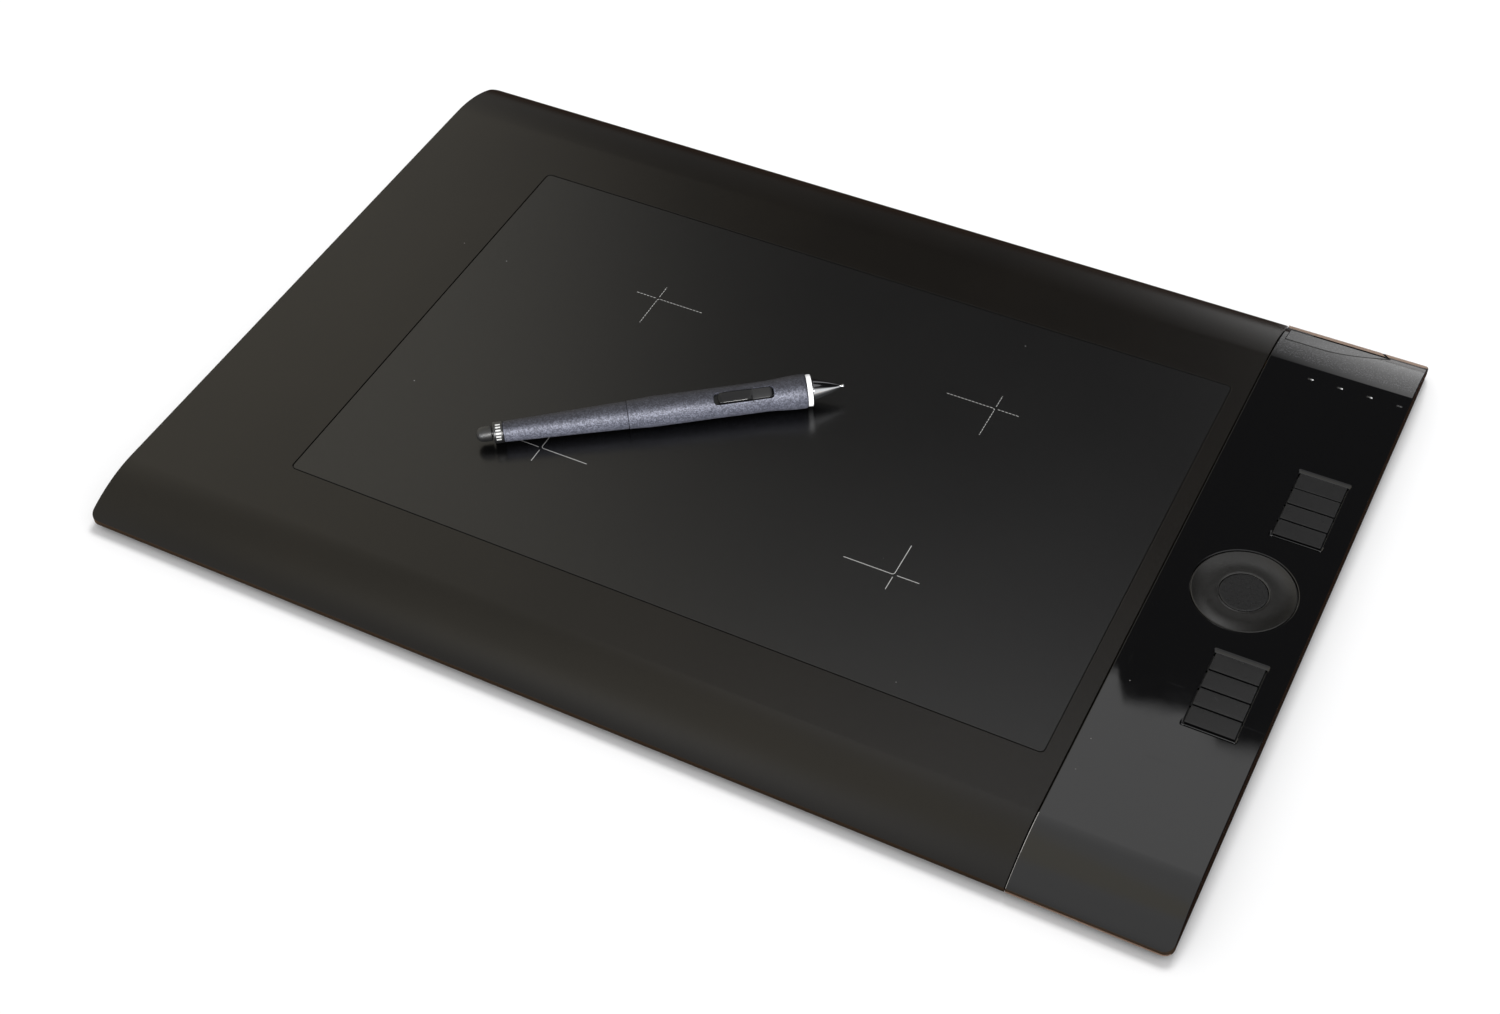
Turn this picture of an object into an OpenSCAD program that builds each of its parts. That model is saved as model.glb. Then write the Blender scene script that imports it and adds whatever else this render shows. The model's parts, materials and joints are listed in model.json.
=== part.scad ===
// Pen drawing tablet with a column of controls on the right and a loose pen lying on its sheet.
// Frame: X to the right along the long side, Y to the back, Z up.
// Origin: centre of the base, in the plane the rubber feet stand on. Millimetres.

/* [Housing] */
// Overall width, left to right
body_w = 474; // [472:0.5:480]
// Overall depth, front to back
body_d = 320; // [318:0.5:324]
// Height of the flat top above the table
top_z = 13.7; // [13.7:0.1:14.3]
// Shell thickness under the flat top
skin = 2.0; // [1.8:0.1:2.1]
// Radius of the corners in plan
corner_r = 4; // [2:0.5:6]
// Radius of the front and back roll-off
roll_r = 65; // [60:1:75]
// Flat depth kept between the two roll-offs
flat_d = 260; // [256:1:262]
// Height of the joint between the upper and lower housing
split_z = 2.8; // [2.8:0.1:3]
// How far the feet stand proud of the base
foot_h = 1.2; // [1:0.1:1.2]

/* [Work surface] */
// Width of the satin sheet
sheet_w = 337.3; // [330:0.1:340]
// Depth of the satin sheet
sheet_d = 210.4; // [200:0.1:212]
// Centre of the sheet along X
sheet_x = -2.05; // [-3:0.05:-1]
// Sheet thickness
sheet_t = 0.65; // [0.5:0.05:0.7]
// Gap around the sheet
sheet_gap = 0.35; // [0.2:0.05:0.5]

/* [Control strip] */
// Width of the glossy strip
strip_w = 62.2; // [62:0.1:63]
// Gap between strip and housing
seam_gap = 0.4; // [0.2:0.1:0.6]
// Key width
key_w = 20; // [19:0.1:20.4]
// Pitch of the keys in a bank
key_pitch = 9.15; // [9:0.05:9.2]
// Distance from the middle of the strip to the inner end of a bank
bank_y0 = 33.2; // [33:0.1:34]
// Gap between two keys
key_gap = 0.36; // [0.3:0.02:0.5]
// Key travel
key_travel = 0.6; // [0.3:0.05:0.6]
// Opening for the touch ring
ring_hole_r = 21; // [20.8:0.1:21.2]
// Radius of the centre button
btn_r = 9.45; // [9:0.05:9.5]

/* [Pen] */
// Where the back end of the pen lies, along X
pen_x = -106.6; // [-120:0.1:-90]
// Where the back end of the pen lies, along Y
pen_y = -60.6; // [-80:0.1:-40]
// Direction of the pen on the sheet
pen_az = 35.16; // [20:0.01:50]
// Turn of the side switch towards the front
pen_roll = 30; // [0:1:60]

/* [Hidden] */
$fn = 48;

// Housing
half_w = body_w / 2;
half_d = body_d / 2;
roof_z = top_z - skin;                 // underside of the flat top
base_z = foot_h;                       // underside of the lower housing
seam_x = half_w - strip_w;             // middle of the seam between case and strip
case_edge_x = seam_x - seam_gap / 2;
strip_edge_x = seam_x + seam_gap / 2;
lip_d = 7;                             // solid depth of the front and back lips
roll_y = flat_d / 2;
crease = 1.5;                          // angle of the small break where the roll-off starts
roll_axis_y = roll_y - roll_r * sin(crease);
roll_axis_z = top_z - roll_r * cos(crease);
sheet_z = top_z - 0.75;                // floor of the sheet recess
sheet_top = sheet_z + sheet_t;

// Controls
key_x = half_w - 19.3;                 // middle of the key banks
key_top = top_z - 0.12;
key_bevel = 0.28;
bank_y1 = bank_y0 + 4 * key_pitch;     // outer end of a bank
ring_x = half_w - 29.5;                // middle of the touch ring
light_xs = [for (i = [0:3]) half_w - 42 + i * 12.7];
light_y = half_d - 36.5;
socket_x = half_w - 23;                // middle of the socket
socket_mouth_y = half_d - 11.8;
port_right_x = half_w - 16.3;          // right end of the port bay
scoop_y = half_d - 4.4;                // straight back edge of the finger scoop
scoop_front_y = half_d - 15;           // straight part of its front edge
scoop_bow_x = half_w - 43;             // where the front edge starts to bow back
scoop_right_x = half_w - 15;

// Inner levels
post_z = split_z - 0.5;                // foot of everything that stands on the tray
shield_z = 9;
rib_top_z = shield_z - 0.1;
board_t = 1.2;
key_board_z = 7;
key_board_top = key_board_z + board_t;
main_board_z = 4.6;
main_board_top = main_board_z + board_t;
screw_seat_z = 3.5;                    // where the heads of the case screws bear

// Places of screws and feet, [x, y]
screw_y = half_d - 18;
case_spots = [for (x = [-half_w + 15, -80, 60, 164]) for (side = [-1, 1]) [x, side * screw_y]];
side_spots = [[-half_w + 9, 0]];
strip_spots = [[half_w - 8, screw_y], [half_w - 8, -screw_y], [half_w - 53, -screw_y]];
housing_spots = concat(case_spots, side_spots, strip_spots);
key_board_spots = [for (x = [half_w - 53.5, half_w - 7.5]) for (y = [73, -73]) [x, y]];
main_board_spots = [[half_w - 47, 90], [half_w - 8.5, 90], [half_w - 47, 136], [half_w - 8.5, 132]];
foot_spots = [for (x = [-200, 0, 200]) for (side = [-1, 1]) [x, side * 128]];
foot_size = [36, 8];
plate_hole_ys = [-100, 0, 60];         // rows of holes in the sensor board and shield plate

// ---- shared shapes ----

// corner of an outline, turning through 90 degrees from the angle start
function corner(x, y, side_x, side_y, radius, start) =
  radius <= 0 ? [[x, y]] :
  [for (i = [0:6]) let (angle = start + 90 * i / 6)
    [x - side_x * radius + radius * cos(angle), y - side_y * radius + radius * sin(angle)]];

// rectangle with its own radii: [front left, front right, back right, back left]
module rounded_rect4(low, high, radii)
  polygon(concat(
    corner(low[0], low[1], -1, -1, radii[0], 180),
    corner(high[0], low[1], 1, -1, radii[1], 270),
    corner(high[0], high[1], 1, 1, radii[2], 0),
    corner(low[0], high[1], -1, 1, radii[3], 90)));
module rounded_rect(low, high, radius)
  rounded_rect4(low, high, [radius, radius, radius, radius]);
module centred_rect(centre, size, radius)
  rounded_rect(centre - size / 2, centre + size / 2, radius);

// box between two opposite corners
module block(low, high) translate(low) cube(high - low);
module at_spots(spots, z = 0) for (spot = spots) translate([spot[0], spot[1], z]) children();

// extrusions of a plan outline, of a [y, z] outline and of an [x, z] outline
module upright(z, height) translate([0, 0, z]) linear_extrude(height) children();
module along_x(x, length)
  translate([x, 0, 0]) rotate([90, 0, 90]) linear_extrude(length) children();
module toward_front(y, length)
  translate([0, y, 0]) rotate([90, 0, 0]) linear_extrude(length) children();

// ---- housing ----

// material outside the rolled front and back edges, between x0 and x1
module roll_cuts(x0, x1, inset = 0)
  for (side = [-1, 1]) difference() {
    translate([x0 - 1, side > 0 ? roll_y : -half_d - 6, 0])
      cube([x1 - x0 + 2, half_d + 6 - roll_y, top_z + 6]);
    translate([x0 - 2, side * roll_axis_y, roll_axis_z]) rotate([0, 90, 0])
      cylinder(r = roll_r - inset, h = x1 - x0 + 4, $fn = 288);
  }
module upper_form(x0, x1, radii)
  difference() {
    upright(split_z, top_z - split_z) rounded_rect4([x0, -half_d], [x1, half_d], radii);
    roll_cuts(x0, x1);
  }
module upper_cavity(x0, x1)
  difference() {
    block([x0, -half_d + lip_d, split_z - 1], [x1, half_d - lip_d, roof_z]);
    roll_cuts(x0, x1, skin);
  }
// screw bosses that hang from the upper shells, and the holes in them
module bosses(spots, height = 6.2) at_spots(spots, 5) cylinder(r = 3.2, h = height);
module boss_pilots(spots) at_spots(spots, 4) cylinder(r = 1.05, h = 6.4);

module top_case() color("#35312d") {
  tongue_y = 124;
  difference() {
    union() {
      difference() {
        upper_form(-half_w, case_edge_x, [corner_r, 0, 0, corner_r]);
        upper_cavity(-half_w + 2.2, seam_x + 2);
      }
      // tongue that closes the seam from below
      block([seam_x - 6, -tongue_y, roof_z - 1.6], [case_edge_x, tongue_y, roof_z + 0.4]);
      block([seam_x - 1, -tongue_y, roof_z - 1.6], [seam_x + 3, tongue_y, roof_z - 0.1]);
      bosses(case_spots);
      bosses(side_spots, roof_z - 4.6);
    }
    // recess for the work sheet
    upright(sheet_z, 5)
      centred_rect([sheet_x, 0], [sheet_w + 2 * sheet_gap, sheet_d + 2 * sheet_gap], 2.4);
    boss_pilots(concat(case_spots, side_spots));
  }
}

// tray under the whole tablet
module tray_plate() {
  edge_y = half_d - 1.2;
  floor_y = half_d - 10;
  intersection() {
    along_x(-half_w, body_w)
      polygon([[-edge_y, split_z], [-edge_y, split_z - 0.6], [-floor_y, base_z],
               [floor_y, base_z], [edge_y, split_z - 0.6], [edge_y, split_z]]);
    upright(base_z - 1, 5) centred_rect([0, 0], [body_w - 2.4, body_d - 2], 3);
  }
}
// locating rib inside the upper shells
module locating_rib()
  difference() {
    upright(post_z, 2.3)
      rounded_rect([-half_w + 2.5, -half_d + 7.3], [half_w - 2.3, half_d - 7.3], 1.5);
    upright(split_z - 1, 4)
      rounded_rect([-half_w + 3.7, -half_d + 8.5], [half_w - 3.5, half_d - 8.5], 1);
  }
module board_posts(spots, top) at_spots(spots, post_z) cylinder(r = 2.6, h = top - post_z);

module bottom_case() color("#232323")
  difference() {
    union() {
      tray_plate();
      locating_rib();
      // ribs that carry the shield plate
      for (y = [-90:45:90]) block([-162, y - 0.8, post_z], [151, y + 0.8, rib_top_z]);
      for (x = [-150:75:150]) block([x - 0.8, -104, post_z], [x + 0.8, 104, rib_top_z]);
      at_spots(housing_spots, post_z) cylinder(r = 4.2, h = 2.6);
      board_posts(key_board_spots, key_board_z);
      board_posts(main_board_spots, main_board_z);
    }
    // case screws: clearance hole and head pocket
    at_spots(housing_spots) {
      cylinder(r = 1.5, h = 6);
      cylinder(r = 2.9, h = screw_seat_z);
    }
    at_spots(key_board_spots, 3) cylinder(r = 0.85, h = 5);
    at_spots(main_board_spots, 2.4) cylinder(r = 0.85, h = 4);
    for (spot = foot_spots) upright(base_z - 1, 1.6) centred_rect(spot, foot_size + [0.2, 0.2], 4);
    // pocket and notch for the socket and its plug
    block([socket_x - 4.4, half_d - 21.4, 1.95], [socket_x + 4.4, half_d - 11, 3]);
    block([socket_x - 5.8, half_d - 11.2, 2.2], [socket_x + 5.8, half_d + 1, 6]);
  }

module work_sheet() color("#3b3a39")
  upright(sheet_z, sheet_t) centred_rect([sheet_x, 0], [sheet_w, sheet_d], 2);

module rubber_feet() color("#1b1b1b")
  for (spot = foot_spots) difference() {
    linear_extrude(base_z + 0.55) centred_rect(spot, foot_size, 3.9);
    // five shallow grooves across the sole
    for (i = [-2:2])
      block([spot[0] + i * 6 - 0.5, spot[1] - 2.5, -1], [spot[0] + i * 6 + 0.5, spot[1] + 2.5, 0.25]);
  }

// ---- control strip ----

// shallow finger recess in front of the port cover:
// straight behind, bowed in front, with a flat sloping floor
function scoop_front(x) = scoop_front_y + (scoop_y - scoop_front_y)
  * pow(max(0, x - scoop_bow_x) / (scoop_right_x - scoop_bow_x), 1.7);
module finger_scoop() {
  left_x = seam_x + 2;
  // distances of the front edge stations from the right side of the housing
  insets = [51, 43, 40, 37, 34, 31, 28, 25, 22, 19, 17];
  front_xs = concat([left_x], [for (inset = insets) half_w - inset]);
  intersection() {
    linear_extrude(20) polygon(concat([[left_x, scoop_y]],
      [for (x = front_xs) [x, scoop_front(x)]], [[scoop_right_x, scoop_y]]));
    along_x(seam_x, 60)
      polygon([[half_d - 17, 11.75], [scoop_y + 0.5, 7.425], [scoop_y + 0.5, 20], [half_d - 17, 20]]);
  }
}
module light_outline(x, gap) centred_rect([x, light_y], [2.6 + 2 * gap, 0.84 + 2 * gap], 0.4);

// window of one key bank, with a rounded scoop at both ends
module bank_opening(side) {
  inner_y = side * (bank_y0 - 0.3);
  outer_y = side * (bank_y1 + 0.05);
  block([key_x - key_w / 2 - 0.3, min(inner_y, outer_y), roof_z - 1],
        [key_x + key_w / 2 + 0.3, max(inner_y, outer_y), top_z + 1]);
  for (y = [bank_y0 - 0.2, bank_y1 + 0.1])
    translate([key_x - key_w / 2 - 1.1, side * y, top_z + 1.6]) rotate([0, 90, 0])
      cylinder(r = 2.35, h = key_w + 2.2);
}
// rear edge: step, bay, space above the cover, guide slot and window of the port
module port_opening() {
  left_x = seam_x + 3.5;
  block([left_x, half_d - 1, split_z - 1], [port_right_x, half_d + 1, top_z]);
  block([left_x, half_d - 9, split_z - 1], [port_right_x, half_d - 2.2, 5.1]);
  block([half_w - 50, scoop_y, 5.65], [port_right_x, half_d + 1, top_z]);
  block([seam_x + 4.8, half_d - 3, 3.6], [half_w - 28, half_d, 4.5]);
  block([socket_x - 5.8, half_d - 3, split_z - 1], [socket_x + 5.8, half_d, 5]);
}

module control_strip() color("#151515")
  difference() {
    union() {
      difference() {
        upper_form(strip_edge_x, half_w, [0, corner_r, 1.3, 0]);
        upper_cavity(seam_x - 2, half_w - 2);
      }
      bosses(strip_spots);
    }
    boss_pilots(strip_spots);
    for (side = [-1, 1]) bank_opening(side);
    // touch ring opening with a chamfered lip
    translate([ring_x, 0, roof_z - 1]) cylinder(r = ring_hole_r, h = 5);
    translate([ring_x, 0, top_z - 0.3]) cylinder(r1 = ring_hole_r, r2 = ring_hole_r + 0.4, h = 0.4);
    for (x = light_xs) upright(roof_z - 1, 5) light_outline(x, 0.05);
    port_opening();
    finger_scoop();
  }

// keys are numbered 1 to 8 from the back
function key_y(number) = number <= 4
  ? bank_y0 + (4.5 - number) * key_pitch
  : -bank_y0 - (number - 4.5) * key_pitch;
// side view of a cap with bevelled top edges
module cap_profile(low, high) {
  base = roof_z - 0.4;
  shoulder = key_top - key_bevel;
  polygon([[low, base], [high, base], [high, shoulder], [high - key_bevel, key_top],
           [low + key_bevel, key_top], [low, shoulder]]);
}
// one key: bevelled cap, side flanges that hold it under the strip, and a stem to its dome
module key(number) color("#3a3a3b") {
  // keys 1 and 2 meet with a narrower gap
  front_y = -key_pitch / 2 + (number == 1 ? 0.07 : key_gap / 2);
  back_y = key_pitch / 2 - (number == 2 ? 0.07 : key_gap / 2);
  flange_x = key_w / 2 + 1.3;
  stem_z = 8.9 + key_travel;
  translate([key_x, key_y(number), 0]) union() {
    intersection() {
      along_x(-key_w / 2, key_w) cap_profile(front_y, back_y);
      toward_front(back_y + 1, key_pitch + 2) cap_profile(-key_w / 2, key_w / 2);
    }
    block([-flange_x, front_y + 0.4, roof_z - 1.1], [flange_x, back_y - 0.4, roof_z - 0.05]);
    translate([0, 0, stem_z]) cylinder(r = 2, h = roof_z - 0.1 - stem_z);
  }
}

// dished ring with a flange under the strip
module touch_ring() color("#3b3a39") {
  dish_z = top_z - 1.0;
  rim_r = ring_hole_r - 0.3;
  flange_r = ring_hole_r + 1.6;
  translate([ring_x, 0, 0]) rotate_extrude($fn = 120)
    polygon(concat(
      [[btn_r + 0.35, 11.1], [btn_r + 0.35, top_z - 1.12], [btn_r + 0.5, dish_z]],
      [for (i = [0:8]) [14 + 6.3 * i / 8, dish_z + 0.78 * pow(i / 8, 2)]],
      [[20.62, top_z - 0.3], [rim_r, top_z - 0.55], [rim_r, roof_z - 0.05],
       [flange_r, roof_z - 0.05], [flange_r, 10.5], [11.5, 10.5], [11.5, 11.1]]));
}

module ring_button() color("#38383a") {
  face_z = top_z - 1.02;
  translate([ring_x, 0, 0]) {
    rotate_extrude($fn = 96)
      polygon([[0, 10.2], [10.9, 10.2], [10.9, 11], [btn_r, 11], [btn_r, top_z - 1.25],
               [btn_r - 0.25, face_z], [0, face_z]]);
    translate([0, 0, 9.5]) cylinder(r = 2, h = 1);
  }
}

module ring_sensor() color("#1f5a35")
  translate([ring_x, 0, 9.65]) difference() {
    cylinder(r = 22, h = 0.8);
    translate([0, 0, -1]) cylinder(r = 11.6, h = 3);
  }

module dome(x, y, radius) translate([x, y, key_board_top]) rotate_extrude()
  polygon([[0, 0.05], [radius, 0.05], [radius, 0.2], [radius * 0.7, 0.52],
           [radius * 0.35, 0.66], [0, 0.68]]);
module key_domes() color("#c9c9c4") {
  for (number = [1:8]) dome(key_x, key_y(number), 3);
  dome(ring_x, 0, 3.4);
}

module indicator_lights() color("#9a9a96")
  for (x = light_xs) {
    upright(roof_z - 1.5, top_z - 0.03 - roof_z + 1.5) light_outline(x, 0);
    block([x - 1.7, light_y - 1.1, roof_z - 2.4], [x + 1.7, light_y + 1.1, roof_z - 1.4]);
  }

module label_displays() color("#101018")
  for (number = [1:8]) {
    y = key_y(number);
    block([half_w - 52.5, y - 4, 10.2], [half_w - 34.5, y + 4, roof_z - 0.1]);
    block([half_w - 46, y - 3, 9.6], [half_w - 41, y + 3, 10.3]);
  }

// ---- boards, socket and cables ----

// parts on a board; rows: [left inset, front y, right inset, back y, height above the board],
// insets measured from the right side of the housing
module board_parts(rows, board_top)
  for (row = rows)
    block([half_w - row[0], row[1], board_top - 0.1], [half_w - row[2], row[3], board_top + row[4]]);

module key_board() color("#1f5a35")
  difference() {
    union() {
      block([half_w - 56, -77, key_board_z], [half_w - 4.5, 77, key_board_top]);
      board_parts([
        [50, 70, 40, 75, 1.4],     // cable connector
        [50, -70, 46, -64, 1.0],   // driver chips
        [50, -6, 44, 0, 1.0],
      ], key_board_top);
    }
    at_spots(key_board_spots, 6) cylinder(r = 1.1, h = 4);
  }

module main_board() color("#1f5a35")
  difference() {
    union() {
      block([half_w - 50, 86, main_board_z], [half_w - 5, socket_mouth_y, main_board_top]);
      board_parts([
        [44, 100, 32, 112, 1.4],   // controller
        [22, 98, 15, 105, 1.1],    // interface chip
        [24, 110, 19, 113, 1.0],   // crystal
        [49, 110, 46, 128, 1.9],   // sensor cable connector
        [38, 87, 26, 90, 1.4],     // key cable connector
      ], main_board_top);
      translate([half_w - 12, 112, main_board_top - 0.1]) cylinder(r = 2.2, h = 3);
    }
    at_spots(main_board_spots, 3) cylinder(r = 1.1, h = 5);
    // cut-outs for the socket and for the boss in the back right corner
    block([socket_x - 4.2, half_d - 21.2, 3], [socket_x + 4.2, half_d, 8]);
    at_spots([strip_spots[0]], 3) cylinder(r = 4.8, h = 6);
  }

// mini socket, mouth to the back; the mouth outline is [x, -z]
module usb_socket() color("#b9bcc0")
  difference() {
    block([socket_x - 3.85, half_d - 21, 2.1], [socket_x + 3.85, socket_mouth_y, 6]);
    translate([socket_x, half_d - 20, 0]) rotate([-90, 0, 0]) linear_extrude(12)
      polygon([[-3.4, -5.6], [3.4, -5.6], [3.4, -3.7], [2.6, -2.5], [-2.6, -2.5], [-3.4, -3.7]]);
  }

// sliding cover on the rear edge, held by a T behind the guide slot
module port_cover() color("#2a2724")
  union() {
    along_x(half_w - 46.4, 29.8)
      polygon([[half_d - 0.95, 2.4], [half_d - 0.3, 2.4], [half_d, 2.7], [half_d, 5.1],
               [half_d - 0.3, 5.45], [half_d - 0.95, 5.55]]);
    block([half_w - 44, half_d - 2.6, 3.7], [half_w - 37, half_d - 0.7, 4.4]);
    block([half_w - 45, half_d - 3.2, 3.1], [half_w - 36, half_d - 2.3, 4.95]);
  }

module flat_cables() color("#c47a2c") {
  // work-surface sensor to main board
  toward_front(132, 22)
    polygon([[166, 8.6], [half_w - 56, 8.6], [half_w - 50.5, 6.6], [half_w - 49.1, 6.6],
             [half_w - 49.1, 6.9], [half_w - 50.4, 6.9], [half_w - 55.9, 8.9], [166, 8.9]]);
  // key board to main board
  along_x(half_w - 41.5, 3)
    polygon([[75.1, 9], [79, 9], [84, 6.3], [86.9, 6.3],
             [86.9, 6.6], [84.1, 6.6], [79.1, 9.3], [75.1, 9.3]]);
}

module sensor_board() color("#1f5a35")
  difference() {
    union() {
      block([-169, -107, 9.9], [167, 107, roof_z - 0.2]);
      block([154, 86, 8.3], [165.8, 106, 10]);   // cable connector
    }
    at_spots([for (x = [-160, 160]) for (y = plate_hole_ys) [x, y]], 9) cylinder(r = 1.6, h = 4);
  }

module shield_plate() color("#aeb2b6")
  difference() {
    block([-165, -105, shield_z], [152, 105, shield_z + 0.7]);
    at_spots([for (y = plate_hole_ys) [-160, y]], 8) cylinder(r = 1.6, h = 3);
    at_spots([for (x = [-120, 0, 120]) for (y = [-67, 67]) [x, y]], 8) cylinder(r = 4, h = 3);
  }

// cross-slotted screw with the underside of its head at z = 0, shank pointing up or down
module screw(head_r, head_h, shank_r, length, up)
  mirror([0, 0, up ? 0 : 1]) difference() {
    union() {
      translate([0, 0, -head_h]) cylinder(r = head_r, h = head_h);
      translate([0, 0, -0.2]) cylinder(r = shank_r, h = length + 0.2);
    }
    for (angle = [0, 90]) rotate([0, 0, angle])
      translate([-head_r * 0.6, -0.25, -head_h - 1]) cube([head_r * 1.2, 0.5, 1.6]);
  }
module case_screws() color("#8d9094")
  at_spots(housing_spots, screw_seat_z)
    screw(head_r = 2.5, head_h = 1.5, shank_r = 1.0, length = 6.4, up = true);
module board_screw(length)
  screw(head_r = 1.8, head_h = 1.0, shank_r = 0.8, length = length, up = false);
module board_screws() color("#b4b7ba") {
  at_spots(key_board_spots, key_board_top) board_screw(4.6);
  at_spots(main_board_spots, main_board_top) board_screw(3.0);
}

// ---- pen ----
// In the pen's own frame X runs along the axis from the back end, 0 to 156.45.
pen_rest = 5.54;                       // axis height above the sheet at the back end
pen_tilt = 0.78;                       // how far the tip end is raised, in degrees
barrel_bore_r = 4.62;

module pen()
  translate([pen_x, pen_y, sheet_top + pen_rest])
    rotate([0, 0, pen_az]) rotate([0, -pen_tilt, 0]) children();
// solid of revolution about the pen axis; stations are [distance along the axis, radius]
module turned(stations)
  rotate([0, 90, 0]) rotate_extrude($fn = 64)
    polygon([for (station = stations) [station[1], station[0]]]);
module on_switch() rotate([pen_roll, 0, 0]) children();
module switch_pivot(radius, half_length)
  translate([117, half_length, 5.4]) rotate([90, 0, 0]) cylinder(r = radius, h = 2 * half_length);
// smooth step from 0 to 1
function ease(t) = t * t * (3 - 2 * t);

module pen_front_barrel() color("#6d7078") pen() difference() {
  turned(concat(
    [[64.2, 5.85]],
    [for (i = [0:6]) [64.2 + 10.8 * i / 6, 6.05 + 0.45 * ease(i / 6)]],
    [[100, 6.46], [122, 6.5]],
    [for (i = [1:6]) [122 + 15.4 * i / 6, 6.5 + 0.85 * ease(i / 6)]],   // flare
    [[139.2, 7.3], [140.0, 6.95], [140.0, barrel_bore_r], [64.2, barrel_bore_r]]));
  on_switch() {
    block([100.6, -2.6, 3], [126, 2.6, 9]);
    switch_pivot(0.55, 3.3);
  }
}
module pen_rear_barrel() color("#6d7078") pen()
  turned(concat([[11.7, 4.25], [12.1, 4.4]],
    [for (i = [1:6]) [12.1 + 51.4 * i / 6, 4.4 + 1.5 * i / 6]],
    [[64, 5.85], [64.05, 4.56], [70, 4.56], [70, 3.4], [11.7, 3.4]]));
module pen_tail_band() color("#1a1a1a") pen()
  turned([[7.4, 1.6], [7.4, 4.25], [7.75, 4.6], [11.2, 4.6], [11.6, 4.3],
          [11.6, 3.34], [16, 3.34], [16, 1.6]]);
module pen_eraser() color("#171717") pen()
  turned(concat(
    [for (i = [0:8]) let (angle = 90 * i / 8) [3.1 - 3.1 * cos(angle), 3.25 * sin(angle)]],
    [[6.7, 3.3], [6.7, 1.54], [17.6, 1.54], [17.6, 2.4], [18.4, 2.4], [18.4, 0]]));
module pen_side_switch() color("#242425") pen() on_switch() {
  toward_front(2.35, 4.7)
    polygon([[102.4, 5.0], [105, 5.0], [105, 4.5], [109, 4.5], [109, 5.0], [121.2, 5.0],
             [121.2, 4.5], [124, 4.5], [124, 5.0], [125.2, 5.0], [125.2, 6.1], [124.8, 6.5],
             [118.2, 6.4], [117.2, 6.5], [116.2, 6.95], [103.6, 7.05], [102.8, 6.8], [102.4, 6.3]]);
  switch_pivot(0.5, 3.1);
}
module pen_ring() color("#f2f2f2") pen()
  turned([[140.1, barrel_bore_r], [140.1, 6.5], [140.5, 6.8], [142.1, 6.8], [142.5, 6.5],
          [142.5, barrel_bore_r]]);
module pen_nose_cone() color("#c8cacc") pen()
  turned([[136, 4.57], [142.55, 4.57], [142.6, 4.75], [143.1, 4.6], [153.6, 1.0], [154.4, 0.72],
          [154.4, 0.51], [150, 0.51], [149, 1.4], [142, 3.8], [136, 3.8]]);
module pen_tip() color("#8b8d90") pen()
  turned(concat([[119.7, 0], [119.7, 1.0], [147, 1.0], [148, 0.45], [154.95, 0.45]],
    [for (i = [0:8]) let (angle = 140 - 140 * i / 8) [155.7 + 0.75 * cos(angle), 0.75 * sin(angle)]]));
module pen_coil() color("#b5622d") pen()
  turned([[126.5, 1.15], [126.5, 3.6], [140, 3.6], [140, 1.15]]);
module pen_board() color("#1f5a35") pen() on_switch() {
  block([72, -2.8, 2.7], [125.5, 2.8, 3.45]);
  block([76, -2, 3.4], [82, 2, 4.1]);
  for (x = [107, 122.6]) translate([x, 0, 3.4]) cylinder(r = 1.4, h = 0.5);
}
module pen_pressure_sensor() color("#9aa0a6") pen()
  turned([[112, 0], [112, 2.5], [119.3, 2.5], [119.3, 0]]);

top_case();
bottom_case();
work_sheet();
control_strip();
key(1);  // key_1
key(2);  // key_2
key(3);  // key_3
key(4);  // key_4
key(5);  // key_5
key(6);  // key_6
key(7);  // key_7
key(8);  // key_8
touch_ring();
ring_button();
ring_sensor();
key_board();
key_domes();
indicator_lights();
label_displays();
main_board();
usb_socket();
port_cover();
flat_cables();
sensor_board();
shield_plate();
rubber_feet();
case_screws();
board_screws();
pen_front_barrel();
pen_rear_barrel();
pen_tail_band();
pen_eraser();
pen_side_switch();
pen_ring();
pen_nose_cone();
pen_tip();
pen_coil();
pen_board();
pen_pressure_sensor();
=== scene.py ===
# A pen tablet with its pen. The tablet lies flat: X runs along its width, with the control
# strip at the right end (+X), Y runs from front (-Y) to back (+Y), and Z is up. The pen's own
# axis is its local X, from the eraser at 0 to the nib. Meshes are built in millimetres and
# scaled to metres as each piece is finished.
import bpy
import bmesh
import json
import math
from math import cos, pi, sin, sqrt
from mathutils import Matrix, Vector


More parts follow.
